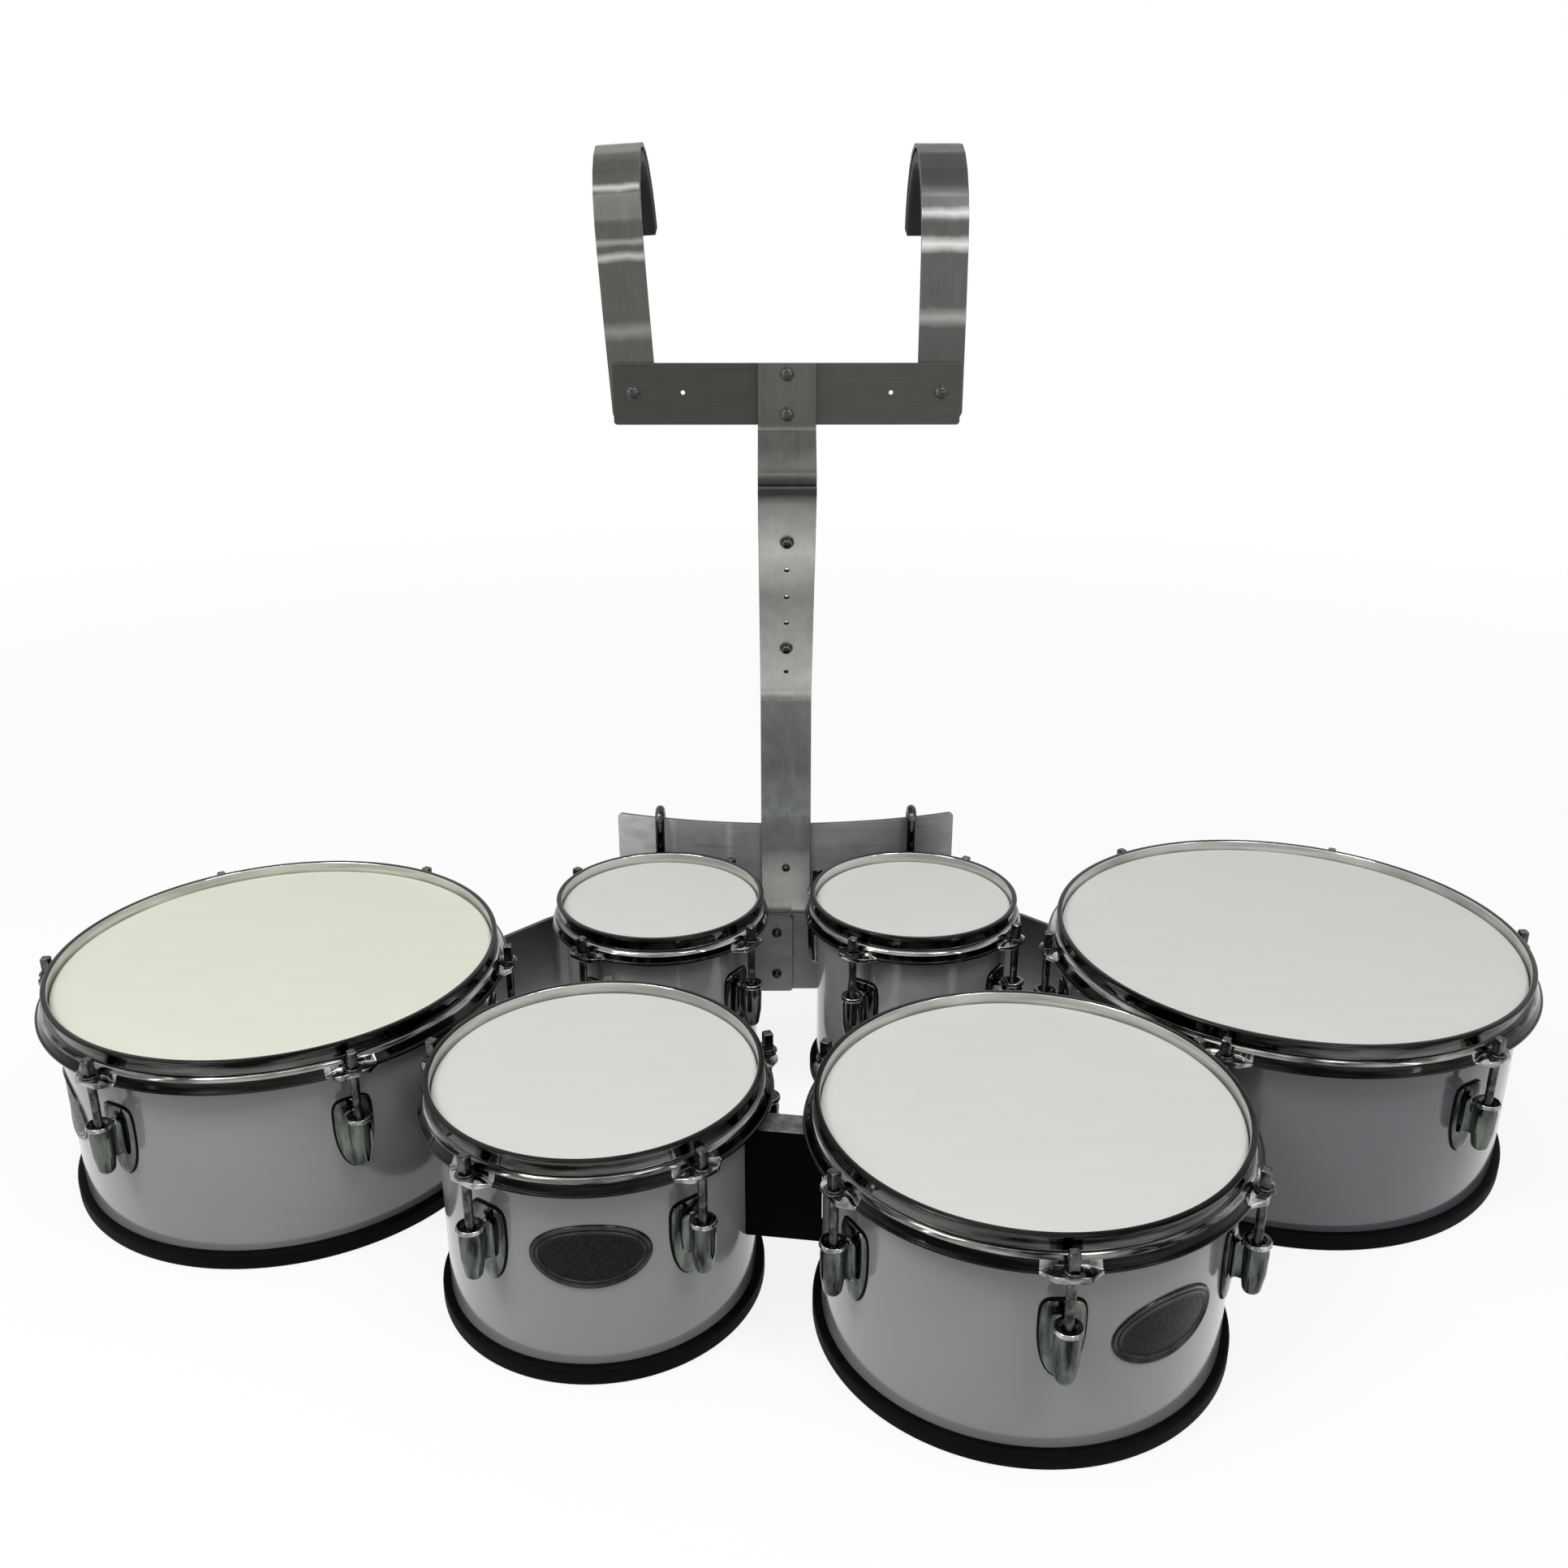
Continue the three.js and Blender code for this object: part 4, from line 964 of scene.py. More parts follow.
def make_badge(drum):
    """An oval badge bent to its shell, with a raised rim round a pebbled field."""
    ovals = []
    shades = []
    for inset, height in BADGE_RINGS:
        ovals.append((BADGE_WIDTH / 2 - inset * MM, BADGE_HEIGHT / 2 - inset * MM, height * MM))
        bright = inset < BADGE_RIM or BADGE_LINE[0] <= inset < BADGE_LINE[1]
        shades.append(0 if bright else 1)
    ovals.append((BADGE_WIDTH / 2 - BADGE_HEIGHT / 2, 0.0, BADGE_MIDDLE))
    rings = []
    for wide, tall, height in ovals:
        reach = drum.shell_out + height
        ring = []
        for c, s in circle(BADGE_POINTS):
            bend = wide * c / drum.shell_out
            ring.append((
                reach * math.sin(bend), -reach * math.cos(bend), drum.badge_middle + tall * s,
            ))
        rings.append(ring)
    bm = bmesh.new()
    corners = add_rings(bm, rings, loop_rings=False, shades=shades)
    for here in range(BADGE_POINTS // 2 - 1):
        there = BADGE_POINTS - 1 - here
        bm.faces.new([corners[0][m] for m in (here, there, there - 1, here + 1)])
    mesh = finish_mesh(bm, f"{drum.name}_badge_plate", 45)
    drum.put(mesh, ["rim chrome", "badge"], "badge", "badge", math.radians(drum.badge))


rod = rod_mesh()
for drum in DRUMS:
    make_shell(drum)
    make_guard(drum)
    make_head(drum)
    make_hoop(drum)
    make_fittings(drum, rod)
    if drum.badge is not None:
        make_badge(drum)


# Bars bent from flat blanks
class BentPath:
    """A line in a plane that bends at its corners, measured along its own length."""

    def __init__(self, corners):
        self.parts = []
        self.length = 0.0
        points = [Vector(c[:2]) for c in corners]
        start = points[0]
        for i, corner in enumerate(corners[1:-1], 1):
            before = (points[i] - points[i - 1]).normalized()
            after = (points[i + 1] - points[i]).normalized()
            turn = turn_between(before, after)
            setback = corner[2] * math.tan(abs(turn) / 2)
            self.add_line(start, points[i] - before * setback)
            self.add_part(abs(turn) * corner[2], points[i] - before * setback, before, turn, corner[2])
            start = points[i] + after * setback
        self.add_line(start, points[-1])

    def add_line(self, start, end):
        """A straight stretch, left out where two bends meet."""
        reach = (end - start).length
        if reach > 0.01 * MM:
            self.add_part(reach, start, (end - start).normalized())

    def add_part(self, reach, start, heading, turn=0.0, radius=0.0):
        self.parts.append((self.length, reach, start, heading, turn, radius))
        self.length += reach

    def at(self, along):
        """The point, and the direction to the left of the heading, at a length from the start."""
        along = min(max(along, 0), self.length)
        for begin, reach, start, heading, turn, radius in reversed(self.parts):
            if along >= begin:
                break
        step = along - begin
        left = Vector((-heading.y, heading.x))
        if not turn:
            return start + heading * step, left
        centre = start + left * math.copysign(radius, turn)
        spin = Matrix.Rotation(turn * step / reach, 2)
        return centre + spin @ (start - centre), spin @ left

    def cuts(self, finest=0.12):
        """Lengths at which a blank is scored so that it can bend."""
        marks = []
        for begin, reach, start, heading, turn, radius in self.parts:
            if turn:
                steps = max(2, math.ceil(abs(turn) / finest))
                marks += [begin + reach * k / steps for k in range(steps + 1)]
        return marks


def arc_corners(centre, radius, start, sweep, steps, rounding, first=0):
    """Corners on an arc, from a start angle through a sweep, in degrees."""
    corners = []
    for i in range(first, steps + 1):
        angle = math.radians(start + sweep * i / steps)
        corners.append((
            centre.x + radius * math.cos(angle), centre.y + radius * math.sin(angle), rounding,
        ))
    return corners


def blank_mesh(outline, holes, thickness):
    """A flat blank with its holes, its rims eased, from closed outlines of (along, across)."""
    curve = bpy.data.curves.new("blank", "CURVE")
    curve.dimensions = "2D"
    curve.fill_mode = "BOTH"
    curve.extrude = thickness / 2 - EASED_EDGE
    curve.bevel_depth = EASED_EDGE
    curve.bevel_resolution = 2
    curve.offset = -EASED_EDGE
    for ring in (outline, *holes):
        spline = curve.splines.new("POLY")
        spline.points.add(len(ring) - 1)
        for point, (a, b) in zip(spline.points, ring):
            point.co = (a, b, 0, 1)
        spline.use_cyclic_u = True
    made = add_object("blank", curve)
    graph = bpy.context.evaluated_depsgraph_get()
    mesh = bpy.data.meshes.new_from_object(made.evaluated_get(graph))
    bpy.data.objects.remove(made)
    return mesh


def round_hole(along, across, radius):
    return [(along + radius * c, across + radius * s) for c, s in circle(28)]


def slot_hole(along, half, radius, points=14):
    ends = []
    for side in (1, -1):
        for k in range(points + 1):
            angle = -math.pi / 2 * side + math.pi * k / points
            ends.append((along + side * half + radius * math.cos(angle), radius * math.sin(angle)))
    return ends


def lay_normals(mesh, path, thickness, basis):
    """Gives a bar's broad faces the normals of its bent sheet, so that its fine folds don't show."""
    first, second = basis[:2]
    flat = mesh.attributes["flat"].data
    normals = [Vector()] * len(mesh.loops)
    for loop in mesh.loops:
        along, aside, depth = flat[loop.vertex_index].vector
        if abs(depth) > thickness / 2 - 0.02 * MM:
            left = path.at(along)[1]
            normals[loop.index] = (first * left.x + second * left.y) * math.copysign(1, depth)
    mesh.normals_split_custom_set(normals)


def bent_bar(name, path, width, thickness, basis, finish, body, replaces, holes=(), corner=1.5 * MM):
    """Cuts a blank, bends it along a path and places it. The basis is (along, away, across, middle)."""
    half = width / 2
    outline = [tuple(p) for p in rounded([
        (0, -half, corner), (path.length, -half, corner), (path.length, half, corner), (0, half, corner),
    ], 5)]
    mesh = blank_mesh(outline, holes, thickness)
    bm = bmesh.new()
    bm.from_mesh(mesh)
    bpy.data.meshes.remove(mesh)
    bmesh.ops.remove_doubles(bm, verts=bm.verts, dist=MERGE)
    for mark in path.cuts():
        bmesh.ops.bisect_plane(
            bm, geom=[*bm.verts, *bm.edges, *bm.faces], dist=MERGE,
            plane_co=(mark, 0, 0), plane_no=(1, 0, 0),
        )
    bm.normal_update()
    margin = 2 * MM
    # Broad faces keep the bar's finish, the rims get the darker metal, and the walls of holes inside the
    # outline get near-black, painted shade.
    for face in bm.faces:
        x, y, z = face.calc_center_median()
        inside = abs(y) < half - margin and margin < x < path.length - margin
        face.material_index = 0 if abs(face.normal.z) > 0.9 else 2 if inside else 1
    flat = bm.verts.layers.float_vector.new("flat")
    first, second, across, middle = basis
    for vert in bm.verts:
        along, aside, depth = vert.co
        vert[flat] = vert.co
        point, left = path.at(along)
        point = point + left * depth
        vert.co = middle + first * point.x + second * point.y + across * aside
    made = finish_mesh(bm, name, 30)
    lay_normals(made, path, thickness, basis)
    new_object(made, [finish, "edge", "hole"], body, replaces=[replaces])


AXIS_X, AXIS_Y, AXIS_Z = Vector((1, 0, 0)), Vector((0, 1, 0)), Vector((0, 0, 1))

# Sizes of the carrier
EASED_EDGE = 0.5 * MM
BAND_THICKNESS = 4 * MM
BAND_HEIGHT = 73 * MM
BAND_BOTTOM = 23 * MM
BAND_TOP = BAND_BOTTOM + BAND_HEIGHT
BAND_BEND_X = 201 * MM
BAND_BEND = 14 * MM
FOOT_BEND = 8 * MM
FOOT_SWEEP = 14
FOOT_STEPS = 6
SPACER_HALF = 12 * MM
SPACER_STEPS = 8
SPACER_EDGE = 0.6 * MM
SPACER_END_SHARE = 0.96
BAR_WIDTH = 42 * MM
BAR = 3 * MM
PLATE_WIDTH = 291 * MM
PLATE_HEIGHT = 78 * MM
PLATE_SAG = 26 * MM
PLATE_RADIUS = ((PLATE_WIDTH / 2) ** 2 + PLATE_SAG ** 2) / (2 * PLATE_SAG)
PLATE_BOTTOM = BAND_TOP + 3.5 * MM
PLATE_TOP = PLATE_BOTTOM + PLATE_HEIGHT
PLATE_FACETS = 36
BELLY_PAD = 12 * MM
BELLY_PAD_BOTTOM = PLATE_BOTTOM + 10 * MM
BELLY_PAD_TOP = PLATE_TOP - 13 * MM
STUD_HEIGHT = 138 * MM
HOLE_RADIUS = 2.9 * MM
SPARE_SLOPE_HOLE = 1.85 * MM
SPARE_CROSSBAR_HOLE = 1.6 * MM
BOLT_HOLES = (1, 5)
HOLE_PITCH = 28.8 * MM
FIRST_HOLE = 29 * MM
BAR_HOLES = 6
PAST_LAST_HOLE = 51.7 * MM
SLIDE_TRAVEL = HOLE_PITCH
LAP_START = 15 * MM
CROSSBAR_LENGTH = 249 * MM
CROSSBAR_HEIGHT = 43 * MM
HOOK_X = 110 * MM
SPARE_HOLE_X = HOOK_X - 35.5 * MM
HOOK_WIDTH = 33 * MM
HOOK_RADIUS = 71.5 * MM
HOOK_FACETS = 11
HOOK_SWEEP = 172
HOOK_FOOT = 4 * MM
HOOK_PAD = 11 * MM
HOOK_PAD_WIDTH = 32 * MM
PAD_CLEARANCE = 0.3 * MM
PAD_STEPS = 90
PAD_POINTS = 40
PAD_SQUARENESS = 0.42
PAD_END = 0.45
LEFT_HOOK_TILT = -3.6

# Places that the carrier takes from the frame
CARRIER_X = (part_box("lower_bar")[0].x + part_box("lower_bar")[1].x) / 2
LEFT_BAND_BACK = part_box("spine_band_left")[1].y
RIGHT_BAND_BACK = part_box("spine_band_right")[1].y
LEFT_BAND_FRONT = LEFT_BAND_BACK - BAND_THICKNESS
LOW_BAR_MIDDLE = RIGHT_BAND_BACK + SEAT_GAP + BAR / 2
PLATE_FRONT = LOW_BAR_MIDDLE + BAR / 2 + SEAT_GAP
PLATE_MIDDLE = PLATE_FRONT + BAR / 2
CROSSBAR_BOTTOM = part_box("crossbar")[0].z
CROSSBAR_TOP = CROSSBAR_BOTTOM + CROSSBAR_HEIGHT
CROSSBAR_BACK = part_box("crossbar")[1].y
HOOK_SCREW_Z = CROSSBAR_BOTTOM + 22.5 * MM
HOOK_LEG = CROSSBAR_BACK + SEAT_GAP + BAR / 2
HOOK_CENTRE = Vector((HOOK_LEG + 2.5 * MM + HOOK_RADIUS, CROSSBAR_TOP + 74.5 * MM))

# The slope that the two bars of the T share, in Y and Z
LOW_BEND = Vector((LOW_BAR_MIDDLE + 8 * MM, 292 * MM))
SLOPE_DEPTH = 120 * MM
SLOPE_LENGTH = FIRST_HOLE + (BAR_HOLES - 1) * HOLE_PITCH + PAST_LAST_HOLE
SLOPE_RISE = math.sqrt(SLOPE_LENGTH ** 2 - SLOPE_DEPTH ** 2)
TOP_BEND = LOW_BEND + Vector((-SLOPE_DEPTH, SLOPE_RISE))
SLOPE_UP = (TOP_BEND - LOW_BEND).normalized()
SLOPE_BACK = Vector((SLOPE_UP.y, -SLOPE_UP.x))
LAP = BAR + SEAT_GAP
UPPER_BEND = LOW_BEND + SLOPE_UP * SLOPE_LENGTH + SLOPE_BACK * LAP
UPPER_NECK = UPPER_BEND + Vector((33 * MM, 35 * MM))


def slope_hole(number):
    """How far up the slope a hole lies."""
    return FIRST_HOLE + number * HOLE_PITCH


def upright(z, x=CARRIER_X):
    """Axes for a piece that stands on edge and bends in X and Y."""
    return AXIS_X, AXIS_Y, AXIS_Z, Vector((x, 0, z))


SIDEWAYS = (AXIS_Y, AXIS_Z, AXIS_X, AXIS_X * CARRIER_X)


def make_lower_bar():
    low = BAND_TOP - 8 * MM
    path = BentPath([
        (LOW_BAR_MIDDLE, low), (LOW_BAR_MIDDLE, PLATE_TOP + 8 * MM, 30 * MM),
        (*LOW_BEND, 18 * MM), (*TOP_BEND,),
    ])
    holes = []
    for i in range(BAR_HOLES):
        radius = HOLE_RADIUS if i in BOLT_HOLES else SPARE_SLOPE_HOLE
        holes.append(round_hole(path.length - SLOPE_LENGTH + slope_hole(i), 0, radius))
    holes.append(round_hole(STUD_HEIGHT - low, 0, HOLE_RADIUS))
    bent_bar(
        "lower_bar_strip", path, BAR_WIDTH, BAR, SIDEWAYS, "lower bar", "carrier", "lower_bar", holes,
    )


def make_upper_bar():
    start = LOW_BEND + SLOPE_UP * LAP_START + SLOPE_BACK * LAP
    path = BentPath([
        (*start,), (*UPPER_BEND, 12 * MM), (*UPPER_NECK, 10 * MM), (UPPER_NECK.x, CROSSBAR_TOP),
    ])
    low, high = (slope_hole(number) for number in BOLT_HOLES)
    slot = slot_hole((low + high) / 2 - LAP_START, (high - low) / 2 + SLIDE_TRAVEL, HOLE_RADIUS)
    bent_bar(
        "upper_bar_strip", path, BAR_WIDTH, BAR, SIDEWAYS, "upper bar", "shoulder_frame", "upper_bar",
        [slot],
    )


def make_crossbar():
    half = CROSSBAR_LENGTH / 2
    path = BentPath([(-half, CROSSBAR_BACK - BAR / 2), (half, CROSSBAR_BACK - BAR / 2)])
    middle = CROSSBAR_BOTTOM + CROSSBAR_HEIGHT / 2
    holes = []
    for x, radius in ((HOOK_X, HOLE_RADIUS), (SPARE_HOLE_X, SPARE_CROSSBAR_HOLE)):
        holes += [round_hole(half + side * x, HOOK_SCREW_Z - middle, radius) for side in (-1, 1)]
    bent_bar(
        "crossbar_plate", path, CROSSBAR_HEIGHT, BAR, upright(middle), "crossbar",
        "shoulder_frame", "crossbar", holes, 2.5 * MM,
    )


def tilted_basis(x, tilt):
    """Axes for a piece that lies in Y and Z, turned about its screw."""
    turn = Matrix.Rotation(math.radians(tilt), 3, "Y")
    pivot = Vector((x, 0, HOOK_SCREW_Z))
    up, across = turn @ AXIS_Z, turn @ AXIS_X
    return AXIS_Y, up, across, pivot - up * HOOK_SCREW_Z


def foam_mesh(name, path, width, thickness, basis, swell):
    """A foam strip along a path: a rounded section that swells a little and closes at both ends."""
    first, second, across, middle = basis
    rings = []
    for i in range(PAD_STEPS + 1):
        along = path.length * i / PAD_STEPS
        near = min(along, path.length - along)
        cap = min(1.0, near / (thickness * PAD_END))
        pull = math.sqrt(max(0.0, 1 - (1 - cap) ** 2))
        point, left = path.at(along)
        ring = []
        for c, s in circle(PAD_POINTS):
            a = power(c, PAD_SQUARENESS) * width / 2 * (0.94 + 0.06 * pull)
            b = power(s, PAD_SQUARENESS) * thickness / 2 * pull
            lump = noise.noise(Vector((along * 40, a * 70, b * 70 + width))) * swell
            if abs(s) > 0.2:
                b += math.copysign(lump * pull, b)
            p = point + left * b
            ring.append(middle + first * p.x + second * p.y + across * a)
        rings.append(ring)
    return skin(name, rings, 60)


def make_hook(side, x, tilt):
    """A shoulder hook: a leg with a slight bend, then an arc folded in short flats, and its pad."""
    leg = [(HOOK_LEG, CROSSBAR_BOTTOM + HOOK_FOOT), (HOOK_LEG, CROSSBAR_TOP + 29 * MM, 24 * MM)]
    arc = arc_corners(HOOK_CENTRE, HOOK_RADIUS, 180, -HOOK_SWEEP, HOOK_FACETS, 14 * MM)
    basis = tilted_basis(CARRIER_X + x, tilt)
    hole = round_hole(HOOK_SCREW_Z - CROSSBAR_BOTTOM - HOOK_FOOT, 0, HOLE_RADIUS)
    bent_bar(
        f"hook_{side}_strip", BentPath(leg + arc), HOOK_WIDTH, BAR, basis, f"{side} hook",
        f"hook_{side}", f"hook_{side}", [hole], 5 * MM,
    )
    radius = HOOK_RADIUS - BAR / 2 - SEAT_GAP - HOOK_PAD / 2
    line = BentPath(arc_corners(HOOK_CENTRE, radius, 180, -HOOK_SWEEP, HOOK_FACETS, 40 * MM, 1))
    name = f"hook_pad_{side}"
    thickness = HOOK_PAD - PAD_CLEARANCE
    mesh = foam_mesh(f"{name}_foam", line, HOOK_PAD_WIDTH, thickness, basis, 0.5 * MM)
    pad = new_object(mesh, ["foam"], f"hook_{side}", replaces=[name])


def plate_arc(radius, width):
    """A path round the belly plate's axis, through the angle that a width of the plate takes up."""
    reach = math.degrees(math.asin(width / 2 / PLATE_RADIUS))
    centre = Vector((0, PLATE_MIDDLE + PLATE_RADIUS))
    return BentPath(arc_corners(centre, radius, -90 - reach, 2 * reach, PLATE_FACETS, radius))


def make_belly_plate():
    path = plate_arc(PLATE_RADIUS, PLATE_WIDTH)
    middle = PLATE_BOTTOM + PLATE_HEIGHT / 2
    bent_bar(
        "belly_plate_sheet", path, PLATE_HEIGHT, BAR, upright(middle), "plate", "carrier",
        "belly_plate", [round_hole(path.length / 2, STUD_HEIGHT - middle, HOLE_RADIUS)], 4 * MM,
    )
    line = plate_arc(PLATE_RADIUS - BAR / 2 - SEAT_GAP - BELLY_PAD / 2, PLATE_WIDTH - 20 * MM)
    mesh = foam_mesh(
        "belly_pad_foam", line, BELLY_PAD_TOP - BELLY_PAD_BOTTOM, BELLY_PAD - PAD_CLEARANCE,
        upright((BELLY_PAD_BOTTOM + BELLY_PAD_TOP) / 2), 0.6 * MM,
    )
    pad = new_object(mesh, ["foam"], "carrier", replaces=["belly_pad"])


def make_band(side, name, inner, outer, back, inner_end, foot_bearing):
    """One half of the spine, bent forward to its foot on the outer drum's shell."""
    middle = back - BAND_THICKNESS / 2
    radius = outer.seat + BAND_THICKNESS / 2
    sweep = side * FOOT_SWEEP
    foot = arc_corners(outer.centre, radius, foot_bearing - 90, sweep, FOOT_STEPS, radius)
    foot[0] = (*foot[0][:2], FOOT_BEND)
    path = BentPath([
        (CARRIER_X - side * inner_end, middle), (CARRIER_X + side * BAND_BEND_X, middle, BAND_BEND),
        *foot,
    ])
    bent_bar(
        f"{name}_strip", path, BAND_HEIGHT, BAND_THICKNESS, upright(BAND_BOTTOM + BAND_HEIGHT / 2, 0),
        "band", "drum_set", name, corner=3 * MM,
    )
    make_spacer(f"{name}_spacer", inner, middle)


def make_spacer(name, drum, band_middle):
    """A block between a small drum and the spine, hollowed to the drum's shell."""
    x, y = drum.centre.xy
    outline = []
    for k in range(SPACER_STEPS + 1):
        aside = SPACER_HALF - 2 * SPACER_HALF * k / SPACER_STEPS
        outline.append((x + aside, y + math.sqrt(drum.seat ** 2 - aside ** 2)))
    front = y + math.sqrt(drum.seat ** 2 - SPACER_HALF ** 2)
    outline += [(x + aside, band_middle - BAND_THICKNESS / 2) for aside in (-SPACER_HALF, SPACER_HALF)]
    centre = (x, (front + band_middle) / 2)
    bm = bmesh.new()
    add_prism(bm, outline, BAND_BOTTOM, BAND_TOP, SPACER_EDGE, SPACER_END_SHARE, centre)
    new_object(finish_mesh(bm, name, 30), ["black paint"], "drum_set")


make_upper_bar()
make_lower_bar()
make_crossbar()
make_hook("left", -HOOK_X, LEFT_HOOK_TILT)
make_hook("right", HOOK_X, 0)
make_belly_plate()
make_band(-1, "spine_band_left", BY_NAME["six_left"], BY_NAME["twelve"], LEFT_BAND_BACK, 6 * MM, 137)
make_band(
    1, "spine_band_right", BY_NAME["six_right"], BY_NAME["thirteen"], RIGHT_BAND_BACK, 24 * MM, -132,
)


# Screws, rivets and bolts
PAN_HEIGHT = 3.0 * MM
SHANK_RADIUS = 2.45 * MM
SCREW_WASHER = 0.9 * MM
NUT_HEIGHT = 4 * MM
SHANK_END = 6.6 * MM
CROSS_TURN = 0.35
HEAD_LIFT = 1.2 * MM
RIVET_INSET = 7.5 * MM
BAND_SCREW_X = -8 * MM
FRONT = Vector((0, -1, 0))


def pan_mesh(radius):
    corners = [
        (0, 0, 0), (radius, 0, 0.3 * MM), (radius * 0.93, PAN_HEIGHT * 0.72, 1.5 * MM), (0, PAN_HEIGHT, 0),
    ]
    return turned("pan", rounded(corners, 5, closed=False), 32, 40)


def cross_cutters(radius):
    """The two bars that cut a cross recess."""
    wide, long = 0.75 * MM, radius * 0.56
    cutters = []
    for turn in (CROSS_TURN, CROSS_TURN + math.pi / 2):
        bm = bmesh.new()
        outline = [(-long, -wide), (long, -wide), (long, wide), (-long, wide)]
        add_prism(bm, outline, PAN_HEIGHT * 0.42, PAN_HEIGHT * 1.4)
        bmesh.ops.rotate(bm, verts=bm.verts, matrix=Matrix.Rotation(turn, 3, "Z"))
        cutters.append(finish_mesh(bm, "cutter", 40))
    return cutters


def screw_mesh(name, stack, radius=4.4 * MM, nut=True, cross=True):
    """A pan-head screw along Z, its head's seat at zero, through a stack and a nut."""
    head = pan_mesh(radius)
    if cross:
        head = combine(head, cross_cutters(radius), "DIFFERENCE")
    bm = bmesh.new()
    bm.from_mesh(head)
    add_washer(bm, radius * 1.18, -SCREW_WASHER, 0, 0.2 * MM, 32)
    under = -stack - SCREW_WASHER
    add_rod(bm, SHANK_RADIUS, under, -SCREW_WASHER)
    if nut:
        add_prism(bm, polygon(6, 2 * radius * 0.9), under - NUT_HEIGHT, under, 0.5 * MM)
        add_rod(bm, SHANK_RADIUS, -stack - SHANK_END, under)
    return finish_mesh(bm, name)


def put_screw(name, mesh, x, y, z, body, replaced=None, facing=FRONT):
    """Places a screw on the carrier, with its head facing a direction."""
    turn = facing.to_track_quat("Z", "X").to_matrix().to_4x4()
    matrix = Matrix.Translation((CARRIER_X + x, y, z)) @ turn
    new_object(mesh, ["steel"], body, matrix, [replaced] if replaced else (), name)


band_screw = screw_mesh("band_screw", 8.6 * MM, 3.6 * MM)
for place, z in (("low", 40 * MM), ("high", 80 * MM)):
    node = f"band_screw_{place}"
    seat = LEFT_BAND_FRONT - HEAD_LIFT
    put_screw(f"{node}_pan", band_screw, BAND_SCREW_X, seat, z, "drum_set", node)
lap_bolt = screw_mesh("lap_bolt", 7.0 * MM)
for place, number in zip(("low", "high"), BOLT_HOLES):
    node = f"lap_bolt_{place}"
    seat = LOW_BEND + SLOPE_UP * slope_hole(number) - SLOPE_BACK * (BAR / 2 + HEAD_LIFT)
    put_screw(f"{node}_pan", lap_bolt, 0, *seat, "carrier", node, Vector((0, *-SLOPE_BACK)))
hook_screw = screw_mesh("hook_screw", 7.0 * MM)
for side, x in (("left", -HOOK_X), ("right", HOOK_X)):
    node = f"hook_screw_{side}"
    seat = CROSSBAR_BACK - BAR - HEAD_LIFT
    put_screw(f"{node}_pan", hook_screw, x, seat, HOOK_SCREW_Z, "shoulder_frame", node)
rivet = screw_mesh("rivet", 4.5 * MM, nut=False)
stud = screw_mesh("stud", 4.5 * MM, 2.8 * MM, nut=False, cross=False)
for place, z in (("low", CROSSBAR_BOTTOM + RIVET_INSET), ("high", CROSSBAR_TOP - RIVET_INSET)):
    seat = UPPER_NECK.x - BAR / 2 - HEAD_LIFT
    put_screw(f"crossbar_rivet_{place}", rivet, 0, seat, z, "shoulder_frame")
put_screw("belly_plate_stud", stud, 0, LOW_BAR_MIDDLE - BAR / 2 - HEAD_LIFT, STUD_HEIGHT, "carrier")

# J rods, their clamps and knobs
J_X = 108 * MM
J_RADIUS = 4 * MM
J_BOTTOM = 20 * MM
CLAMP_BORE = J_RADIUS + 0.5 * MM
PLATE_DIP = PLATE_RADIUS - math.sqrt(PLATE_RADIUS ** 2 - J_X ** 2)
J_REAR = PLATE_FRONT + BAR + PLATE_DIP + J_RADIUS + SEAT_GAP * 3
J_FRONT = PLATE_FRONT + PLATE_DIP - J_RADIUS * 2 - SEAT_GAP * 2
J_HEIGHT = PLATE_TOP - SEAT_GAP * 3
J_TIP = ((0.0, 0.0), (0.0, 0.82), (0.6 * MM, 1.0))
J_TURN_STEPS = 16
KNOB_GRIP = 12 * MM
KNOB_STEM = 2.9 * MM
KNOB_POINTS = 96
KNOB_RIBS = 16
RIB_DEPTH = 0.045


def make_j_rod(side, x):
    heights = (J_BOTTOM, J_BOTTOM + J_RADIUS, 60 * MM, 110 * MM)
    line = [Vector((x, J_FRONT, z)) for z in heights]
    bend, middle = (J_REAR - J_FRONT) / 2, (J_REAR + J_FRONT) / 2
    for i in range(J_TURN_STEPS + 1):
        angle = math.pi * (1 - i / J_TURN_STEPS)
        line.append(Vector((x, middle + bend * math.cos(angle), J_HEIGHT + bend * math.sin(angle))))
    line.append(Vector((x, J_REAR, J_HEIGHT - 8 * MM)))
    rings = []
    last = len(line) - 1
    for i, point in enumerate(line):
        heading = (line[min(i + 1, last)] - line[max(i - 1, 0)]).normalized()
        away = heading.cross(AXIS_X).normalized()
        levels = ((0.0, 1.0),)
        if i == 0:
            levels = J_TIP
        elif i == last:
            levels = [(-lift, share) for lift, share in reversed(J_TIP)]
        for lift, share in levels:
            middle_here = point + heading * lift
            reach = J_RADIUS * share
            rings.append([middle_here + (AXIS_X * c + away * s) * reach for c, s in circle(24)])
    mesh = skin(f"j_rod_{side}_bar", rings, 40)
    new_object(mesh, ["rod chrome"], "carrier", replaces=[f"j_rod_{side}"])


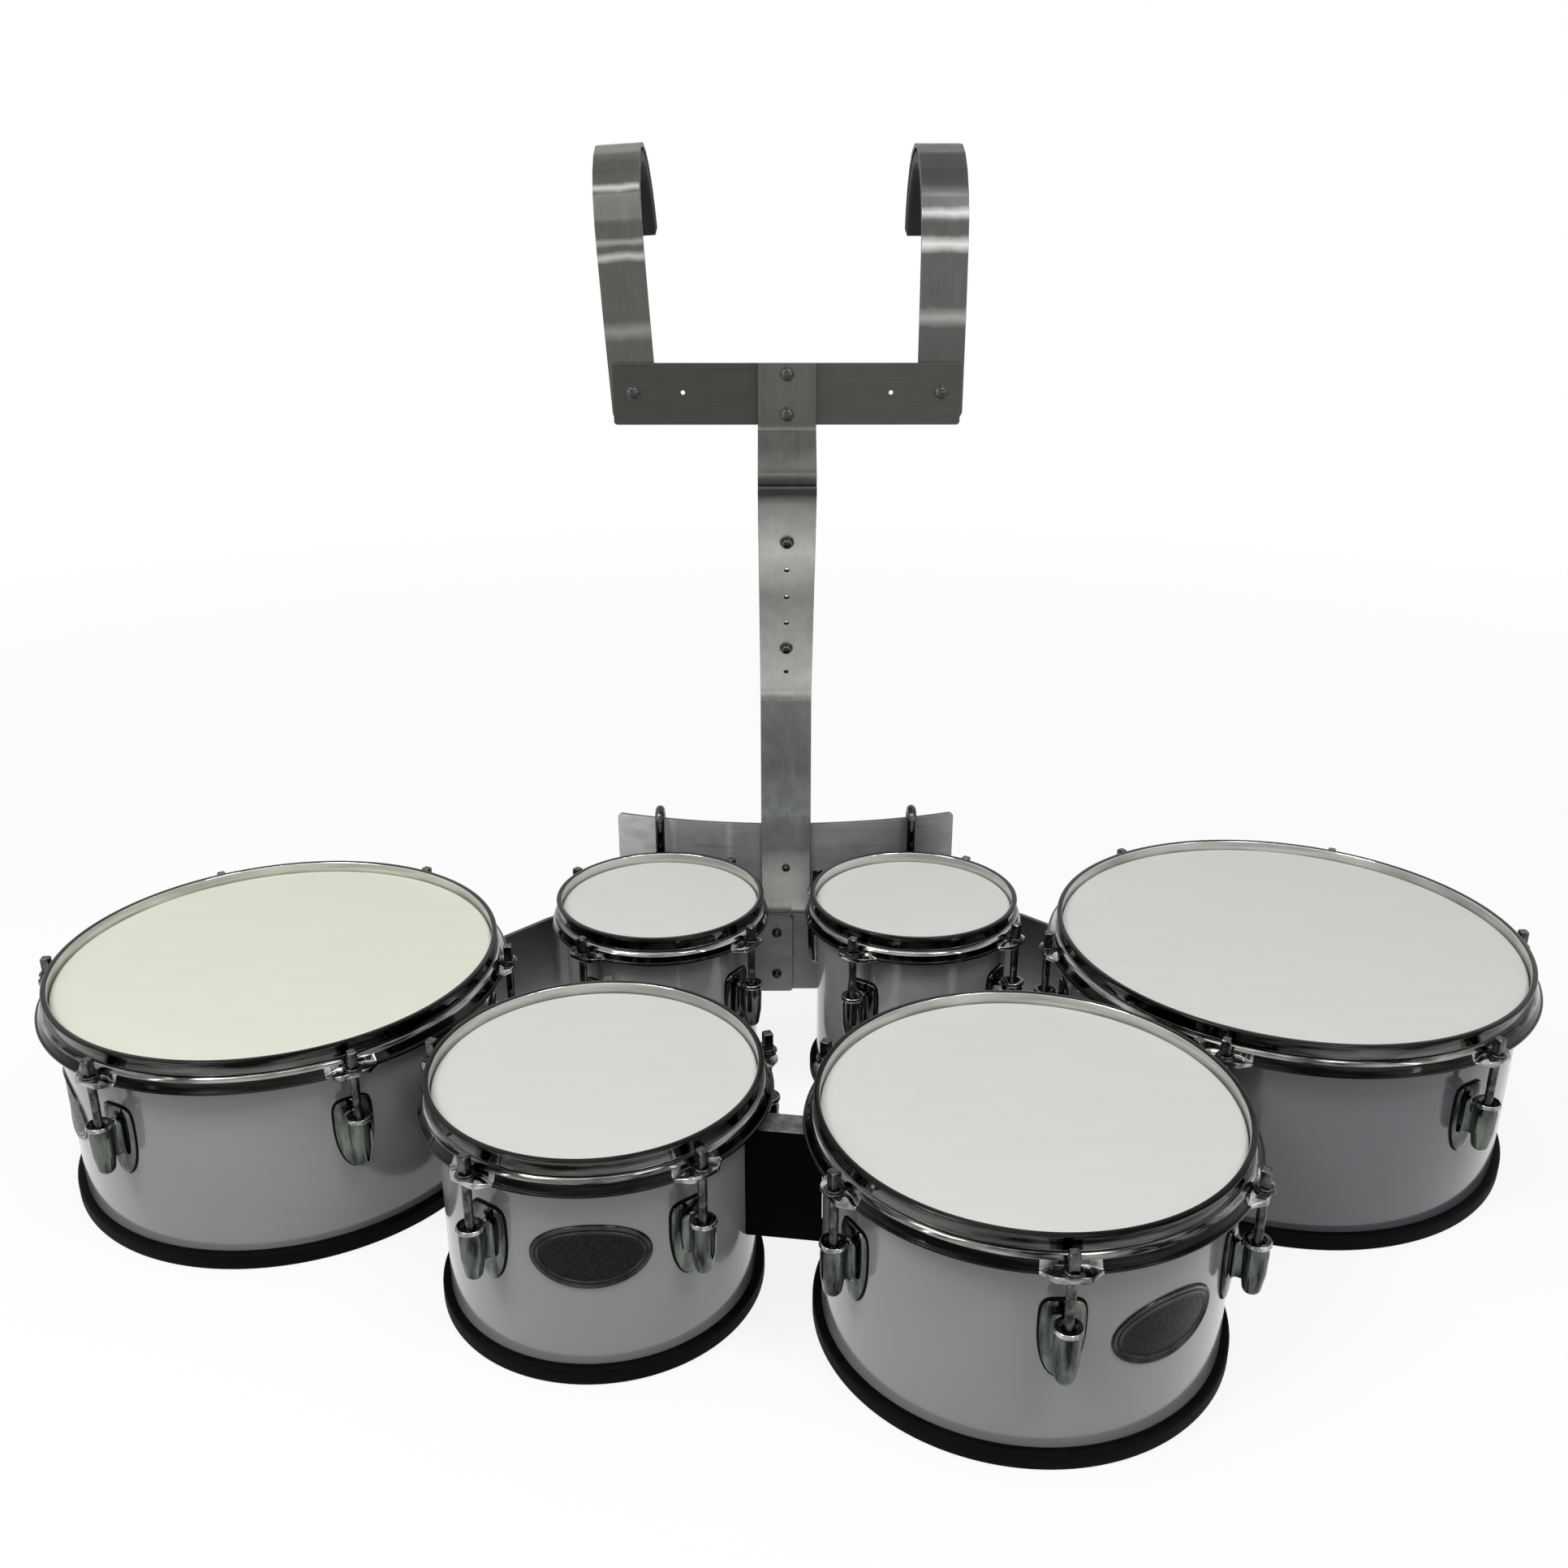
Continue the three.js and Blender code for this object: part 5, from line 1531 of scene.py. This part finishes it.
def make_clamp(side):
    """The block on the spine that a J rod slides in."""
    low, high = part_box(f"rod_clamp_{side}")
    middle = (low + high) / 2
    half = (high - low) / 2
    outline = rounded([
        (-half.x, -half.y, 0.2 * MM), (half.x, -half.y, 0.2 * MM),
        (half.x, half.y, 4 * MM), (-half.x, half.y, 4 * MM),
    ], 5)
    bm = bmesh.new()
    add_prism(bm, [tuple(p) for p in outline], low.z, high.z, 0.7 * MM)
    bmesh.ops.translate(bm, verts=bm.verts, vec=(middle.x, middle.y, 0))
    block = finish_mesh(bm, "block")
    bm = bmesh.new()
    add_rod(bm, CLAMP_BORE, low.z - MM, high.z + MM, 28)
    bmesh.ops.translate(bm, verts=bm.verts, vec=(middle.x, J_FRONT, 0))
    mesh = smooth(combine(block, [finish_mesh(bm, "bore")], "DIFFERENCE"), 30)
    new_object(
        mesh, ["steel"], "drum_set", replaces=[f"rod_clamp_{side}"],
        name=f"rod_clamp_{side}_block",
    )


def make_knob(side):
    """The ribbed knob that grips a J rod in its clamp, with its stem."""
    low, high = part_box(f"clamp_knob_{side}")
    middle = (low + high) / 2
    reach = (high.z - low.z) / 2
    dish = KNOB_GRIP - 1.2 * MM
    profile = (
        (0, 0), (0, 0.86), (1.2 * MM, 0.97), (2.5 * MM, 1), (KNOB_GRIP - 2.5 * MM, 1),
        (KNOB_GRIP - 0.8 * MM, 0.95), (KNOB_GRIP, 0.84), (dish, 0.5), (dish, 0),
    )
    rings = []
    for depth, share in profile:
        ring = []
        for k, (c, s) in enumerate(circle(KNOB_POINTS)):
            wave = 0.5 + 0.5 * math.cos(2 * math.pi * k / KNOB_POINTS * KNOB_RIBS)
            r = reach * share * (1 - RIB_DEPTH * wave if share > 0.9 else 1)
            ring.append((middle.x + r * c, high.y - KNOB_GRIP + depth, middle.z + r * s))
        rings.append(ring)
    bm = bmesh.new()
    add_rings(bm, rings, loop_rings=False)
    stem_start = len(bm.verts)
    add_rod(bm, KNOB_STEM, 0, high.y - low.y - KNOB_GRIP + MM)
    bm.verts.ensure_lookup_table()
    lay = Matrix.Translation((middle.x, low.y, middle.z)) @ LAID_BACK
    bmesh.ops.transform(bm, matrix=lay, verts=bm.verts[stem_start:])
    mesh = finish_mesh(bm, f"clamp_knob_{side}_grip")
    node = f"clamp_knob_{side}"
    new_object(mesh, ["black paint"], node, replaces=[node])


for side, x in (("left", -J_X), ("right", J_X)):
    make_j_rod(side, CARRIER_X + x)
    make_clamp(side)
    make_knob(side)

# Bridges between the shells
BRIDGE_HALF = 10 * MM
BRIDGE_WALL = 4 * MM
BRIDGE_BOTTOM = 54 * MM
BRIDGE_TOP = 134 * MM


def make_bridge(start, end, shift):
    """A channel from shell to shell, its ends shaped to the shells that they meet."""
    half, wall, low, high = BRIDGE_HALF, BRIDGE_WALL, BRIDGE_BOTTOM, BRIDGE_TOP
    section = rounded([
        (-half, low, 2 * MM), (half, low, 0.6 * MM), (half, low + wall, 0.6 * MM),
        (-half + wall, low + wall, 1 * MM), (-half + wall, high - wall, 1 * MM),
        (half, high - wall, 0.6 * MM), (half, high, 0.6 * MM), (-half, high, 2 * MM),
    ])
    span = end.centre - start.centre
    near, far = [], []
    for y, z in section:
        y = y + shift
        near.append((math.sqrt(start.seat ** 2 - y * y), y, z))
        far.append((span.length - math.sqrt(end.seat ** 2 - y * y), y, z))
    bm = bmesh.new()
    rows = add_rings(bm, [near, far], loop_rings=False)
    bm.faces.new(rows[0])
    bm.faces.new(list(reversed(rows[1])))
    bmesh.ops.recalc_face_normals(bm, faces=bm.faces)
    # Top faces get the grey paint: a painted highlight where the light falls on the channel's top.
    for face in bm.faces:
        if face.normal.z > 0.8 and face.calc_center_median().z > high - wall / 2:
            face.material_index = 1
    turn = Matrix.Rotation(math.atan2(span.y, span.x), 4, "Z")
    name = f"bridge_{start.name}_{end.name}"
    new_object(
        finish_mesh(bm, f"{name}_channel"), ["black paint", "painted top light"], "drum_set",
        Matrix.Translation(start.centre) @ turn, [name],
    )


make_bridge(BY_NAME["eight"], BY_NAME["ten"], -10 * MM)
make_bridge(BY_NAME["twelve"], BY_NAME["eight"], 6 * MM)
make_bridge(BY_NAME["ten"], BY_NAME["thirteen"], 4 * MM)


# The studio: a pale floor that keeps a faint shadow, a white surround and soft lamps
def seen_directly(tree):
    """One for the camera's rays and for those that metal reflects, nought for scattered light."""
    path = add_node(tree, "ShaderNodeLightPath").outputs
    either = add_math(tree, "MAXIMUM", path["Is Camera Ray"], path["Is Glossy Ray"])
    return add_math(tree, "MAXIMUM", either, path["Is Transmission Ray"])


FLOOR_REACH = 30.0
FLOOR_GLOW = 0.86
FLOOR_NEAR = 1.0
FLOOR_FAR = 2.6
FLOOR_BOUNCE = 0.30


def make_floor():
    corners = [(x * FLOOR_REACH, y * FLOOR_REACH, 0) for x, y in ((-1, -1), (1, -1), (1, 1), (-1, 1))]
    mesh = bpy.data.meshes.new("floor")
    mesh.from_pydata(corners, [], [(0, 1, 2, 3)])
    floor = add_object("floor", mesh)
    material = bpy.data.materials.new("floor")
    material.use_nodes = True
    tree = material.node_tree
    tree.nodes.clear()
    seen = seen_directly(tree)
    color = add_range(tree, seen, 0, 1, FLOOR_BOUNCE, 1.0)
    diffuse = add_node(tree, "ShaderNodeBsdfDiffuse", {"Color": color})
    glow = add_node(tree, "ShaderNodeEmission")
    place = add_node(tree, "ShaderNodeTexCoord").outputs["Object"]
    length = add_node(tree, "ShaderNodeVectorMath", {0: place}, operation="LENGTH")
    share = add_range(tree, length.outputs["Value"], FLOOR_NEAR, FLOOR_FAR, FLOOR_GLOW, 1.0)
    glowing = add_math(tree, "MULTIPLY", seen, share)
    shaders = {0: glowing, 1: diffuse.outputs[0], 2: glow.outputs[0]}
    mix = add_node(tree, "ShaderNodeMixShader", shaders)
    add_node(tree, "ShaderNodeOutputMaterial", {0: mix.outputs[0]})
    mesh.materials.append(material)


HORIZON_LIGHT = 0.10
ZENITH_LIGHT = 0.86


def make_world():
    """White to the eye and in metal; the light that it scatters comes mostly from above."""
    world = bpy.data.worlds.new("surround")
    bpy.context.scene.world = world
    world.use_nodes = True
    tree = world.node_tree
    place = add_node(tree, "ShaderNodeTexCoord").outputs["Generated"]
    height = add_node(tree, "ShaderNodeSeparateXYZ", {0: place}).outputs["Z"]
    rise = add_math(tree, "POWER", add_math(tree, "MAXIMUM", height, 0.0), 2.0)
    light = add_range(tree, rise, 0, 1, HORIZON_LIGHT, ZENITH_LIGHT)
    seen = seen_directly(tree)
    hidden = add_math(tree, "MULTIPLY", add_math(tree, "SUBTRACT", 1.0, seen), light)
    background = tree.nodes["Background"].inputs
    background["Color"].default_value = (1, 1, 1, 1)
    feed(tree, background["Strength"], add_math(tree, "ADD", seen, hidden))


def make_lamp(name, place, target, size, power, color=(1, 1, 1)):
    data = bpy.data.lights.new(name, "AREA")
    data.shape = "RECTANGLE"
    data.size, data.size_y = size
    data.energy = power
    data.color = color
    lamp = add_object(name, data)
    lamp.location = place
    lamp.rotation_mode = "QUATERNION"
    lamp.rotation_quaternion = (Vector(target) - Vector(place)).to_track_quat("-Z", "Y")


make_floor()
make_world()
make_lamp("left softbox", (-1.137, -0.877, 1.95), (-0.05, 0, 0.15), (0.7, 0.7), 17, (1, 1, 0.97))
make_lamp("right softbox", (0.776, -0.993, 1.95), (0.05, 0, 0.15), (0.5, 0.5), 8.5, (0.91, 0.94, 1))
make_lamp("overhead strip", (0, -0.9, 2.3), (0, 0, 0.2), (1.6, 0.07), 4)
make_lamp("left strip", (-1.8, -1.5, 1.3), (-0.1, 0, 0.15), (0.12, 1.1), 4)
make_lamp("right strip", (1.8, -1.6, 1.3), (0.1, 0, 0.15), (0.12, 1.1), 3, (0.94, 0.96, 1))

view = bpy.context.scene.view_settings
view.view_transform = "Standard"
